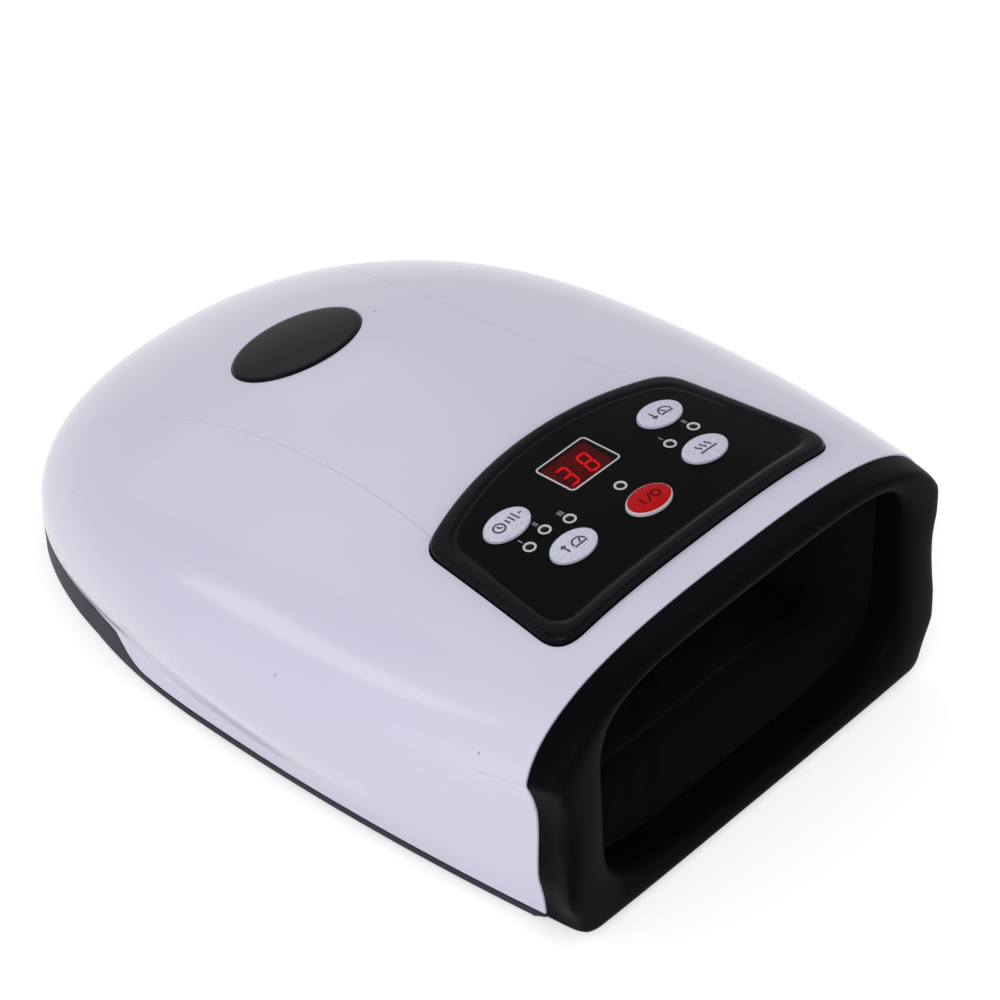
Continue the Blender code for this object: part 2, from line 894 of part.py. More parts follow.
def make_base(finish):
    def wall_top(depth):
        return skirt_height(depth) - fit_gap

    def lip_top(depth):
        return lip_top_front if depth < lip_step_depth else lip_top_side

    inner = wall + lip_gap
    floor_top = base_bottom + base_floor
    loops = [
        base_loop(base_chamfer, level(base_bottom)),
        base_loop(0.0, level(base_bottom + base_chamfer)),
        base_loop(0.0, wall_top),
        base_loop(inner, wall_top),
        base_loop(inner, lip_top),
        base_loop(inner + lip_wall, lip_top),
        base_loop(inner + lip_wall, level(floor_top)),
    ]
    base = loft("base_shell", loops, finish["grey"])
    for side, depth in screw_places():
        boss = [(boss_radius, floor_top - base_floor / 2), (boss_radius, boss_top)]
        combine(base, upright("boss", (side, depth), boss, round_turns), "UNION")
        recess = [
            (screw_head_radius + fit_gap, base_bottom - overrun),
            (screw_head_radius + fit_gap, base_bottom + screw_head_height + 2 * fit_gap),
        ]
        combine(base, upright("recess", (side, depth), recess, round_turns), "DIFFERENCE")
        hole = [
            (screw_shank_radius + fit_gap, base_bottom),
            (screw_shank_radius + fit_gap, boss_top + overrun),
        ]
        combine(base, upright("hole", (side, depth), hole, small_turns), "DIFFERENCE")
    cradle_top = pump_axis_height - pump_radius - fit_gap
    for start in (motor_left + cradle_thickness, motor_left + motor_length + cradle_thickness):
        cradle = block(
            "cradle",
            (start, start + cradle_thickness),
            (pump_axis_depth - cradle_half_width, pump_axis_depth + cradle_half_width),
            (floor_top - base_floor / 2, cradle_top),
        )
        combine(base, cradle, "UNION")
    for side in (power_board_left + standoff_inset, power_board_right - standoff_inset):
        rings = [
            (standoff_radius, floor_top - base_floor / 2),
            (standoff_radius, power_board_bottom - fit_gap),
        ]
        middle = (power_board_front + power_board_back) / 2
        combine(base, upright("standoff", (side, middle), rings, round_turns), "UNION")
    return base


def make_mouth(finish):
    """The bezel round the mouth, the ring behind it that clamps the cloth, and the throat."""
    back = shell_front - fit_gap
    low = base_bottom + fit_gap
    lean_start = low + (mouth_bottom - low) * bezel_middle_share
    # depth, then how far the loop has gone from the casing's outline to the mouth's edge
    steps = [
        (back, 0.0),
        (bezel_round, 0.0),
        (bezel_front_step, bezel_front_share),
        (0.0, bezel_middle_share),
        (bezel_face_step, bezel_face_share),
        (bezel_inner_round, 1.0),
        (back, 1.0),
    ]
    loops = []
    for depth, share in steps:
        outer = section_loop(depth, bezel_inset, low)
        inner = mouth_loop(outer, 0.0)
        loop = []
        for (x0, z0), (x1, z1) in zip(outer, inner):
            x, z = x0 + (x1 - x0) * share, z0 + (z1 - z0) * share
            lean = bezel_lean * max(z - lean_start, 0.0) / crown_height * (1 - depth / back)
            loop.append(place(x, depth + lean, z))
        loops.append(loop)
    loft("mouth_bezel", loops, finish["matte"], closed=True)

    front = shell_front + fit_gap
    rear = front + clamp_ring_thickness
    loops = []
    for depth, edge in ((front, 0), (rear, 0), (rear, 1), (front, 1)):
        loop = section_loop(front, wall + fit_gap, low)
        if edge:
            loop = mouth_loop(loop, throat_wall + fit_gap)
        loops.append([place(x, depth, z) for x, z in loop])
    loft("clamp_ring", loops, finish["matte"], closed=True)

    space_bottom, space_top = palm_top(), press_bottom(plate_front)
    middle = (space_bottom + space_top) / 2
    outer = section_loop(front, wall + fit_gap, low)
    depths = [shell_front + (throat_back - shell_front) * i / 3 for i in range(4)]
    loops = []
    for grow, order in ((throat_wall, depths), (0.0, depths[::-1])):
        for depth in order:
            share = (depth - shell_front) / (throat_back - shell_front)
            share = share * share * (3 - 2 * share)
            wide = mouth_loop(outer, grow)
            loop = []
            for x, z in wide:
                tall = (space_top - space_bottom) / 2 + grow
                half = space_half_width + grow
                direction = (x, z - mouth_centre + middle)
                end = oval_towards(direction, middle, half, tall, tall, throat_power)
                loop.append(place(x + (end[0] - x) * share, depth, z + (end[1] - z) * share))
            loops.append(loop)
    loft("throat_liner", loops, finish["cloth"], closed=True)


def palm_top():
    """Top of the cloth under the palm."""
    stack = air_cell_height + heat_film_thickness + massage_plate_thickness + nub_height
    return base_bottom + base_floor + stack + palm_cover_thickness + 4 * fit_gap


def press_bottom(depth):
    """Underside of the cloth over the hand."""
    stack = tray_thickness + air_cell_height + press_plate_thickness + pad_cover_thickness
    return tray_height(depth) - stack - 3 * fit_gap


def make_tray(finish):
    """The sloping tray over the hand space, which stands on two side walls."""
    half = space_half_width + sleeve_wall + 2 * fit_gap + tray_wall
    depths = (plate_front, plate_back)
    tray = wedge_block(
        "inner_frame", (-half, half), depths, tray_height, tray_thickness, finish["matte"]
    )
    floor = base_bottom + base_floor + fit_gap
    for side in (-half, half - tray_wall):
        corners = [(side, plate_front), (side + tray_wall, plate_front)]
        corners += [(side + tray_wall, plate_back), (side, plate_back)]
        low = [place(x, depth, floor) for x, depth in corners]
        high = [place(x, depth, tray_height(depth) - tray_thickness / 2) for x, depth in corners]
        combine(tray, loft("wall", [low, high]), "UNION")
    for side in (-board_half_width + standoff_inset, board_half_width - standoff_inset):
        for depth in (board_front + 2 * standoff_inset, board_back - standoff_inset):
            rings = [
                (standoff_radius, tray_height(depth) - tray_thickness / 2),
                (standoff_radius, board_top - board_thickness - fit_gap),
            ]
            combine(tray, upright("standoff", (side, depth), rings, round_turns), "UNION")
    return tray


def cell_pillow(name, half, depths, height_at, thickness, material):
    """A flat air cell with thinned edges."""
    middle = [(-half, depths[0]), (half, depths[0]), (half, depths[1]), (-half, depths[1])]
    step = air_cell_side_step
    inner = [
        (-half + step, depths[0] + step),
        (half - step, depths[0] + step),
        (half - step, depths[1] - step),
        (-half + step, depths[1] - step),
    ]
    loops = []
    for outline, drop in ((inner, thickness), (middle, thickness / 2), (inner, 0.0)):
        loops.append([place(x, depth, height_at(depth) - drop) for x, depth in outline])
    return loft(name, loops, material)


def make_press_side(finish):
    half = space_half_width - pad_clearance
    depths = (plate_front + pad_clearance, plate_back - pad_clearance)

    def under_tray(depth):
        return tray_height(depth) - tray_thickness - fit_gap

    cell_pillow("upper_air_cell", half, depths, under_tray, air_cell_height, finish["rubber"])

    def plate_top(depth):
        return under_tray(depth) - air_cell_height - fit_gap

    middle = (plate_front + plate_back) / 2
    plate = wedge_block(
        "press_plate", (-half, half), depths, plate_top, press_plate_thickness, finish["matte"]
    )
    put_origin(plate, place(0, middle, plate_top(middle)))

    def cover_top(depth):
        return plate_top(depth) - press_plate_thickness - fit_gap

    cover = wedge_block(
        "press_cover", (-half, half), depths, cover_top, pad_cover_thickness, finish["cloth"]
    )
    put_origin(cover, place(0, middle, plate_top(middle)))


def make_palm_side(finish):
    half = space_half_width - pad_clearance
    depths = (plate_front + pad_clearance, plate_back - pad_clearance)
    cell_top = base_bottom + base_floor + fit_gap + air_cell_height
    cell_pillow("lower_air_cell", half, depths, level(cell_top), air_cell_height, finish["rubber"])
    film_top = cell_top + fit_gap + heat_film_thickness
    film_low = film_top - heat_film_thickness
    film = block("heating_film", (-half, half), depths, (film_low, film_top), finish["amber"])
    plate_low = film_top + fit_gap
    plate_high = plate_low + massage_plate_thickness
    plate = block("massage_plate", (-half, half), depths, (plate_low, plate_high), finish["matte"])
    columns, rows = 4, 4
    for i in range(columns):
        for j in range(rows):
            side = half * (2 * (i + 0.5) / columns - 1)
            depth = depths[0] + (depths[1] - depths[0]) * (j + 0.5) / rows
            rings = [
                (nub_radius, plate_high - massage_plate_thickness / 2),
                (nub_radius, plate_high),
                (nub_radius * nub_top_share, plate_high + nub_height),
            ]
            combine(plate, upright("nub", (side, depth), rings, small_turns), "UNION")
    cover_low = plate_high + nub_height + fit_gap
    cover_high = cover_low + palm_cover_thickness
    cover = block("palm_cover", (-half, half), depths, (cover_low, cover_high), finish["cloth"])
    for piece in (film, plate, cover):
        put_origin(piece, place(0, (plate_front + plate_back) / 2, film_low))


def make_sleeve(finish):
    """The cloth walls at both sides of the hand and ahead of the fingertips."""
    inner, outer = space_half_width, space_half_width + sleeve_wall
    back = plate_back + fit_gap
    corners = [(outer, plate_front), (outer, back + sleeve_wall), (-outer, back + sleeve_wall)]
    corners += [(-outer, plate_front), (-inner, plate_front), (-inner, back), (inner, back)]
    corners.append((inner, plate_front))
    low = [place(x, depth, sleeve_bottom) for x, depth in corners]
    high = []
    for x, depth in corners:
        reach = min(depth, plate_back)
        high.append(place(x, depth, press_bottom(reach) - fit_gap))
    return loft("hand_sleeve", [low, high], finish["cloth"])


def make_pump(finish):
    axis = (pump_axis_depth, pump_axis_height)
    bore = shaft_radius + shaft_clearance
    start, end = motor_left, motor_left + motor_length
    rings = [(bore, start), (pump_radius, start), (pump_radius, end), (bore, end)]
    along_x("pump_motor", axis, rings, wide_turns, finish["metal"], closed=True)

    housing_start = end + fit_gap
    housing_end = housing_start + housing_length
    rings = [
        (bore, housing_start),
        (pump_radius, housing_start),
        (pump_radius, housing_end),
        (pump_radius - housing_wall, housing_end),
        (pump_radius - housing_wall, housing_start + housing_wall),
        (bore, housing_start + housing_wall),
    ]
    along_x("pump_housing", axis, rings, wide_turns, finish["matte"], closed=True)

    crank_start = housing_start + housing_wall + 2 * fit_gap
    crank_end = crank_start + crank_thickness
    rings = [
        (shaft_radius, start - shaft_tail),
        (shaft_radius, crank_start),
        (crank_radius, crank_start),
        (crank_radius, crank_end),
    ]
    rotor = along_x("motor_rotor", axis, rings, round_turns, finish["metal"])
    pin_rings = [
        (crank_pin_radius, crank_end - crank_thickness / 2),
        (crank_pin_radius, crank_end + crank_pin_length),
    ]
    pin_axis = (pump_axis_depth, pump_axis_height + crank_pin_offset)
    combine(rotor, along_x("pin", pin_axis, pin_rings, small_turns), "UNION")
    put_origin(rotor, place(start, *axis))

    swash_start = crank_end + crank_pin_length + fit_gap
    rings = [(swash_radius, swash_start), (swash_radius, swash_start + swash_thickness)]
    along_x("swash_plate", axis, rings, wide_turns, finish["matte"])

    diaphragm_start = housing_end + fit_gap
    rim = pump_radius - housing_wall - fit_gap
    inner_face = swash_start + swash_thickness + fit_gap
    rings = [
        (swash_radius / 2, inner_face),
        (rim / 2, diaphragm_start),
        (pump_radius, diaphragm_start),
        (pump_radius, diaphragm_start + diaphragm_thickness),
    ]
    along_x("pump_diaphragm", axis, rings, wide_turns, finish["rubber"])

    head_start = diaphragm_start + diaphragm_thickness + fit_gap
    head_end = head_start + head_length
    rings = [
        (pump_radius, head_start),
        (pump_radius, head_end),
        (nipple_radius, head_end),
        (nipple_radius, head_end + nipple_length),
    ]
    along_x("pump_head", axis, rings, wide_turns, finish["matte"])
    return head_end


def curve_hose(name, points, radius, material):
    """A hose along a smooth curve through a few points."""
    data = bpy.data.curves.new(name, "CURVE")
    data.dimensions = "3D"
    line = smooth_line(points, 4)
    spline = data.splines.new("POLY")
    spline.points.add(len(line) - 1)
    for target, point in zip(spline.points, line):
        target.co = (*point, 1.0)
    data.bevel_depth = radius
    data.bevel_resolution = 1
    data.use_fill_caps = True
    data.materials.append(material)
    hose = bpy.data.objects.new(name, data)
    bpy.context.scene.collection.objects.link(hose)
    return hose


def smooth_line(points, steps):
    """Points along a smooth curve that passes through every given point."""
    ends = [points[0]] + points + [points[-1]]
    line = []
    for i in range(1, len(ends) - 2):
        p0, p1, p2, p3 = ends[i - 1], ends[i], ends[i + 1], ends[i + 2]
        for j in range(steps):
            t = j / steps
            bend = 2 * p1 + (p2 - p0) * t + (2 * p0 - 5 * p1 + 4 * p2 - p3) * t**2
            line.append((bend + (3 * p1 - p0 - 3 * p2 + p3) * t**3) / 2)
    line.append(points[-1])
    return line


def make_air_parts(head_end, finish):
    floor = base_bottom + base_floor + fit_gap
    manifold_right = manifold_left + manifold_width
    manifold = block(
        "air_manifold",
        (manifold_left, manifold_right),
        (manifold_front, manifold_back),
        (floor, floor + manifold_height),
        finish["matte"],
    )
    axis = (pump_axis_depth, pump_axis_height)
    port = [
        (nipple_radius, manifold_left - nipple_length / 2),
        (nipple_radius, manifold_left + manifold_width / 2),
    ]
    combine(manifold, along_x("port", axis, port, round_turns), "UNION")
    start, end = head_end + fit_gap, manifold_left - fit_gap
    rings = [(hose_bore, start), (hose_radius, start), (hose_radius, end), (hose_bore, end)]
    along_x("pump_hose", axis, rings, round_turns, finish["rubber"], closed=True)

    for name, depth in zip(("upper_valve", "lower_valve"), valve_depths):
        height = floor + valve_height / 2
        coil = block(
            name,
            (valve_left, valve_left + valve_length),
            (depth - valve_half_width, depth + valve_half_width),
            (floor, floor + valve_height),
            finish["metal"],
        )
        bore_start = valve_left + valve_bore_end
        bore = [
            (plunger_radius + fit_gap, bore_start),
            (plunger_radius + fit_gap, valve_left + valve_length + overrun),
        ]
        combine(coil, along_x("bore", (depth, height), bore, round_turns), "DIFFERENCE")
        plunger_start = bore_start + plunger_travel + fit_gap
        rings = [(plunger_radius, plunger_start), (plunger_radius, plunger_start + plunger_length)]
        plunger = along_x(name + "_plunger", (depth, height), rings, round_turns, finish["brass"])
        put_origin(plunger, place(plunger_start, depth, height))
        spout = [
            (nipple_radius, manifold_right + fit_gap),
            (nipple_radius, valve_left + valve_bore_end / 2),
        ]
        combine(coil, along_x("spout", (depth, height), spout, round_turns), "UNION")

    cell_back = plate_back - pad_clearance + fit_gap
    upper = tray_height(plate_back) - tray_thickness - fit_gap - air_cell_height / 2
    manifold_top = floor + manifold_height
    rise = upper - manifold_top
    bend = 2 * cell_hose_radius
    points = [
        place(cell_hose_side, manifold_front + bend, manifold_top + fit_gap),
        place(cell_hose_side, manifold_front + bend, manifold_top + fit_gap + bend),
        place(cell_hose_side, manifold_front + bend, manifold_top + rise / 3),
        place(cell_hose_side, (manifold_front + cell_back) / 2 + bend, upper - rise / 8),
        place(cell_hose_side, cell_back + 2 * bend, upper),
        place(cell_hose_side, cell_back + bend, upper),
        place(cell_hose_side, cell_back, upper),
    ]
    curve_hose("upper_hose", points, cell_hose_radius, finish["rubber"])
    low = floor + air_cell_height / 2
    points = [
        place(cell_hose_side, manifold_front - fit_gap, low + bend),
        place(cell_hose_side, manifold_front - bend, low + bend),
        place(cell_hose_side, (manifold_front + cell_back) / 2, low + cell_hose_radius),
        place(cell_hose_side, cell_back + bend, low),
        place(cell_hose_side, cell_back, low),
    ]
    curve_hose("lower_hose", points, cell_hose_radius, finish["rubber"])


def make_power_parts(finish):
    top = power_board_bottom + board_thickness
    block(
        "power_board",
        (power_board_left, power_board_right),
        (power_board_front, power_board_back),
        (power_board_bottom, top),
        finish["green"],
    )
    block_back = power_board_back
    socket = block(
        "power_socket",
        (socket_side - socket_block_half, socket_side + socket_block_half),
        (block_back - socket_block_length, block_back),
        (top + fit_gap, socket_block_top),
        finish["matte"],
    )
    centre = (socket_side, socket_height)
    barrel_end = body_length - 2 * fit_gap - wall / 2
    barrel = [(socket_radius, block_back - socket_block_length / 2), (socket_radius, barrel_end)]
    combine(socket, along_y("barrel", centre, barrel, round_turns), "UNION")
    hole = [(socket_bore, block_back - socket_block_length / 2), (socket_bore, body_length + overrun)]
    combine(socket, along_y("hole", centre, hole, round_turns), "DIFFERENCE")
    pin = [
        (socket_pin, block_back - socket_block_length * 3 / 4),
        (socket_pin, barrel_end - wall / 2),
    ]
    combine(socket, along_y("pin", centre, pin, small_turns), "UNION")


def make_fasteners(finish):
    names = ("front_left", "front_right", "rear_left", "rear_right")
    for name, centre in zip(names, screw_places()):
        head_low = base_bottom + fit_gap
        head_high = head_low + screw_head_height
        rings = [
            (screw_head_radius, head_low),
            (screw_head_radius, head_high),
            (screw_shank_radius, head_high),
            (screw_shank_radius, head_low + screw_length),
        ]
        upright("screw_" + name, centre, rings, round_turns, finish["metal"])
    for name, centre in zip(names, foot_places()):
        rings = [
            (foot_radius - foot_chamfer, 0.0),
            (foot_radius, foot_chamfer),
            (foot_radius, foot_height),
        ]
        upright("foot_" + name, centre, rings, wide_turns, finish["rubber"])


def make_finishes():
    """The materials of the pieces, under plain names."""
    return {
        "white": make_material("white_gloss", (0.80, 0.78, 0.85), 0.12),
        "grey": make_material("dark_base", (0.07, 0.068, 0.08), 0.38),
        "black": make_material("black_gloss", (0.012, 0.012, 0.013), 0.22),
        "matte": make_material("black_plastic", (0.02, 0.02, 0.022), 0.5),
        "cloth": make_material("black_cloth", (0.012, 0.012, 0.013), 0.9),
        "silver": make_material("key_silver", (0.74, 0.74, 0.80), 0.4),
        "red": make_material("key_red", (0.80, 0.02, 0.02), 0.4),
        "pale": make_material("light_pipe", (0.8, 0.8, 0.82), 0.4),
        "smoke": make_material("display_smoke", (0.10, 0.01, 0.012), 0.1),
        "rubber": make_material("rubber", (0.03, 0.03, 0.03), 0.8),
        "green": make_material("board_green", (0.02, 0.16, 0.06), 0.5),
        "amber": make_material("heating_film", (0.55, 0.28, 0.08), 0.4),
        "metal": make_material("steel", (0.55, 0.55, 0.57), 0.35, 1.0),
        "brass": make_material("brass", (0.70, 0.52, 0.22), 0.3, 1.0),
    }


def gather():
    """Hangs every piece under one empty at the model's origin."""
    root = bpy.data.objects.new("hand_massager", None)
    bpy.context.scene.collection.objects.link(root)
    for piece in bpy.data.objects:
        if piece is not root:
            piece.parent = root


def main():
    clear_scene()
    finish = make_finishes()
    make_upper_shell(finish)
    make_rear_cover(finish)
    make_badge(finish)
    make_fascia(finish)
    make_keys(finish)
    make_lights(finish)
    make_display(finish)
    make_control_board(finish)
    make_base(finish)
    make_mouth(finish)
    make_tray(finish)
    make_press_side(finish)
    make_palm_side(finish)
    make_sleeve(finish)
    head_end = make_pump(finish)
    make_air_parts(head_end, finish)
    make_power_parts(finish)
    make_fasteners(finish)
    gather()


main()
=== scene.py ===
import math

import bmesh
import bpy
import numpy as np
from mathutils import Matrix, Vector


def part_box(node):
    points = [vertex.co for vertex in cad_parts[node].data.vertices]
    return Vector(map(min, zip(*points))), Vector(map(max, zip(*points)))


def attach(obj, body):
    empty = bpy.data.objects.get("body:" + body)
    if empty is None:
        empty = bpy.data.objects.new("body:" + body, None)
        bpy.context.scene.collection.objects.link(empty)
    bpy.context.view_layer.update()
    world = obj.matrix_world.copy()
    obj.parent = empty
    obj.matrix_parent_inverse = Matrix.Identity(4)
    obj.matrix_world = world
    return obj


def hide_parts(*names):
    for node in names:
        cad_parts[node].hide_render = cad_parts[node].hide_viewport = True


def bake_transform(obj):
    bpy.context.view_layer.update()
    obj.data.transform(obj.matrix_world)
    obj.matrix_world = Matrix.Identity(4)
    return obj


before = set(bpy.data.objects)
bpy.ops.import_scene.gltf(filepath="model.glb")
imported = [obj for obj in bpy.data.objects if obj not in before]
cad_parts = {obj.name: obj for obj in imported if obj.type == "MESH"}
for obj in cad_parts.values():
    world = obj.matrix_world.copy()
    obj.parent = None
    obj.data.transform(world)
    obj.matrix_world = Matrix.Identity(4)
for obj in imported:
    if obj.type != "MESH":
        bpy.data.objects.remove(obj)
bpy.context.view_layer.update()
mm = 0.001

# The hand massager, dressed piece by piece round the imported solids.
# Points are (side, depth, height) in metres. Depth runs back from the mouth,
# and toFrame moves it to the frame's Y.

photoView = {
    "lens": 130.25,
    "sensor": 36.0,
    "azimuth": -45.5915,
    "elevation": 42.3293,
    "roll": -1.2307,
    "place": (-0.5367, -0.5525, 0.7369),
    "clip": (0.01, 20),
}


def newObject(name, data):
    made = bpy.data.objects.new(name, data)
    bpy.context.scene.collection.objects.link(made)
    return made


def setCamera():
    turn, rise, roll = (math.radians(photoView[key]) for key in ("azimuth", "elevation", "roll"))
    back = Vector((math.sin(turn) * math.cos(rise), -math.cos(turn) * math.cos(rise), math.sin(rise)))
    right = Vector((math.cos(turn), math.sin(turn), 0))
    up = back.cross(right)
    rolledRight = right * math.cos(roll) + up * math.sin(roll)
    rolledUp = up * math.cos(roll) - right * math.sin(roll)
    data = bpy.data.cameras.new("photoCamera")
    data.lens, data.sensor_width = photoView["lens"], photoView["sensor"]
    data.clip_start, data.clip_end = photoView["clip"]
    camera = newObject("photoCamera", data)
    turned = Matrix((rolledRight, rolledUp, back)).transposed().to_4x4()
    camera.matrix_world = Matrix.Translation(photoView["place"]) @ turned
    bpy.context.scene.camera = camera


setCamera()
bpy.context.scene.view_settings.view_transform = "Standard"
print("camera set")


# Shader maths: a wire is a socket that can be added, multiplied and so on

class Wire:
    def __init__(self, tree, socket=None):
        self.tree, self.socket = tree, socket

    def node(self, kind, settings, sockets, out=0):
        made = self.tree.nodes.new(kind)
        for key, value in settings.items():
            if key == "stops":
                for extra in value[2:]:
                    made.color_ramp.elements.new(extra[0])
                for element, (place, colour) in zip(made.color_ramp.elements, value):
                    element.position, element.color = place, colour
            else:
                setattr(made, key, value)
        for key, value in sockets.items():
            if isinstance(value, Wire):
                self.tree.links.new(value.socket, made.inputs[key])
            else:
                made.inputs[key].default_value = value
        return Wire(self.tree, made.outputs[out])

    def maths(self, how, *others):
        sockets = dict(enumerate((self, *others)))
        return self.node("ShaderNodeMath", {"operation": how}, sockets)

    def __add__(self, other):
        return self.maths("ADD", other)

    __radd__ = __add__

    def __rsub__(self, other):
        return (self * -1.0).maths("ADD", other)

    def __mul__(self, other):
        return self.maths("MULTIPLY", other)

    __rmul__ = __mul__

    def step(self, low, high):  # 0 below low and 1 above high
        sockets = {"Value": self, "From Min": low, "From Max": high}
        return self.node("ShaderNodeMapRange", {"interpolation_type": "SMOOTHSTEP"}, sockets)

    def blend(self, first, second):  # first where the wire is 0, second where it is 1
        sockets = {0: self, 6: first, 7: second}
        return self.node("ShaderNodeMix", {"data_type": "RGBA"}, sockets, 2)

    def stretch(self, scale):  # the same place, read through other units
        return self.node("ShaderNodeMapping", {}, {"Vector": self, "Scale": scale})

    def noise(self, scale, detail=2.0, rough=0.5):
        sockets = {"Vector": self, "Scale": scale, "Detail": detail, "Roughness": rough}
        return self.node("ShaderNodeTexNoise", {}, sockets)

    def cells(self, scale, feature="F1"):
        settings = {"feature": feature}
        return self.node("ShaderNodeTexVoronoi", settings, {"Vector": self, "Scale": scale}, "Distance")

    def axis(self, name):
        return self.node("ShaderNodeSeparateXYZ", {}, {"Vector": self}, name)

    def nearTo(self, point, radius):  # 1 at the point, 0 beyond the radius
        away = self.node("ShaderNodeVectorMath", {"operation": "DISTANCE"}, {0: self, 1: point}, "Value")
        return 1 - away.step(radius * 0.35, radius)


def rgb(red, green, blue):
    return (red, green, blue, 1.0)


def makeMaterial(name, paint):
    material = bpy.data.materials.new(name)
    material.use_nodes = True
    tree = material.node_tree
    shader = tree.nodes["Principled BSDF"]
    place = Wire(tree).node("ShaderNodeTexCoord", {}, {}, "Object")
    for key, value in paint(place).items():
        if key == "Bump":  # height, strength and distance
            height, strength, distance = value
            sockets = {"Height": height, "Strength": strength, "Distance": distance}
            bump = place.node("ShaderNodeBump", {}, sockets, "Normal")
            tree.links.new(bump.socket, shader.inputs["Normal"])
        elif isinstance(value, Wire):
            tree.links.new(value.socket, shader.inputs[key])
        else:
            shader.inputs[key].default_value = value
    return material


# Finishes

dustSpots = {  # small dark specks that the casing has caught
    "radius": 0.55 * mm,
    "places": (
        (-0.0721, 0.0739, 0.0419), (-0.0909, -0.0303, 0.0525), (-0.0818, -0.0974, 0.0631),
        (0.0607, 0.0474, 0.0585), (0.0246, 0.0468, 0.0655), (-0.0867, 0.0523, 0.0234),
    ),
}


def glossCasing(place):
    cloud = place.noise(9, 3)
    smear = place.noise(38, 4, 0.6)
    colour = cloud.step(0.3, 0.7).blend(rgb(0.610, 0.580, 0.735), rgb(0.638, 0.610, 0.758))
    dust = place.cells(760).step(0.025, 0.06)
    rare = place.noise(70, 0).step(0.66, 0.70)
    speck = (1 - dust) * rare
    for spot in dustSpots["places"]:
        speck = speck.maths("MAXIMUM", place.nearTo(spot, dustSpots["radius"]))
    return {
        "Base Color": (speck * 0.65).blend(colour, rgb(0.10, 0.09, 0.11)),
        "Roughness": 0.12 + 0.07 * smear + 0.3 * speck,
        "Bump": (place.noise(620, 2) + 0.2 * place.noise(2600, 1), 0.05, 0.1 * mm),
        "IOR": 1.48,
    }


def glossBlack(place):
    rub = place.noise(120, 4, 0.65)
    return {
        "Base Color": rub.blend(rgb(0.0020, 0.0019, 0.0028), rgb(0.0036, 0.0034, 0.0050)),
        "Roughness": 0.15 + 0.10 * rub,
        "Specular IOR Level": 0.060,
        "Specular Tint": rgb(0.90, 0.85, 1.0),
        "Bump": (place.noise(1500, 2), 0.06, 0.1 * mm),
    }


def printedFilm(place):
    grain = place.noise(5200, 1)
    rub = place.noise(90, 4, 0.6)
    shade = 0.6 * grain + 0.4 * rub
    return {
        "Base Color": shade.blend(rgb(0.0013, 0.0013, 0.0016), rgb(0.0026, 0.0026, 0.0031)),
        "Roughness": 0.30 + 0.12 * rub,
        "Specular IOR Level": 0.022,
        "Bump": (grain, 0.10, 0.06 * mm),
    }


def softBezel(place):
    grain = place.noise(3600, 2)
    rub = place.noise(45, 4, 0.6)
    return {
        "Base Color": rub.blend(rgb(0.0015, 0.0013, 0.0020), rgb(0.0026, 0.0024, 0.0034)),
        "Roughness": 0.42 + 0.10 * rub,
        "Specular IOR Level": 0.019,
        "Specular Tint": rgb(0.90, 0.84, 1.0),
        "Bump": (grain, 0.18, 0.08 * mm),
    }


def flakeSilver(place):
    flake = place.cells(2600)
    fleck = place.noise(3300, 1).step(0.42, 0.62)
    return {
        "Base Color": fleck.blend(rgb(0.47, 0.47, 0.59), rgb(0.63, 0.63, 0.77)),
        "Roughness": 0.30 + 0.12 * flake,
        "Specular IOR Level": 0.3,
        "Metallic": 0.25 * fleck,
        "Bump": (flake, 0.12, 0.05 * mm),
    }


def keyRed(place):
    shade = place.noise(700, 2)
    return {
        "Base Color": shade.blend(rgb(0.38, 0.003, 0.005), rgb(0.50, 0.005, 0.006)),
        "Specular IOR Level": 0.05,
        "Roughness": 0.30 + 0.10 * place.noise(1800, 1),
        "Bump": (place.noise(2400, 1), 0.06, 0.05 * mm),
    }


def paleRing(place):
    shade = place.noise(900, 2)
    return {
        "Base Color": shade.blend(rgb(0.46, 0.44, 0.48), rgb(0.58, 0.56, 0.60)),
        "Roughness": 0.34 + 0.08 * shade,
        "Bump": (shade, 0.05, 0.05 * mm),
    }


def printInk(place):
    patch = place.noise(5200, 2).step(0.25, 0.6)
    return {
        "Base Color": patch.blend(rgb(0.040, 0.038, 0.062), rgb(0.010, 0.009, 0.020)),
        "Roughness": 0.42 + 0.1 * patch,
        "Bump": (patch, 0.05, 0.03 * mm),
    }


def printPale(place):
    patch = place.noise(4200, 2).step(0.2, 0.65)
    return {
        "Base Color": patch.blend(rgb(0.14, 0.14, 0.15), rgb(0.36, 0.36, 0.37)),
        "Roughness": 0.45 + 0.1 * patch,
        "Bump": (patch, 0.05, 0.03 * mm),
    }


def redGlass(place):
    return {
        "Base Color": place.noise(500, 2).blend(rgb(0.42, 0.010, 0.020), rgb(0.50, 0.014, 0.026)),
        "Roughness": 0.05 + 0.02 * place.noise(260, 2),
        "Transmission Weight": 1.0,
        "IOR": 1.12,
        "Specular IOR Level": 0.35,
    }


def smokedLens(place):
    return {
        "Base Color": place.noise(900, 2).blend(rgb(0.003, 0.003, 0.004), rgb(0.006, 0.006, 0.007)),
        "Roughness": 0.12 + 0.06 * place.noise(1500, 2),
        "Specular IOR Level": 0.05,
    }


def glowRed(place):
    glow = place.noise(1500, 2)
    return {
        "Base Color": rgb(0.35, 0.02, 0.02),
        "Emission Color": glow.blend(rgb(0.80, 0.060, 0.080), rgb(1.0, 0.120, 0.130)),
        "Emission Strength": 1.5,
        "Roughness": 0.4 + 0.1 * glow,
    }


def unlitRed(place):
    return {
        "Base Color": place.noise(1500, 2).blend(rgb(0.055, 0.016, 0.016), rgb(0.085, 0.022, 0.022)),
        "Roughness": 0.35 + 0.1 * place.noise(900, 2),
    }


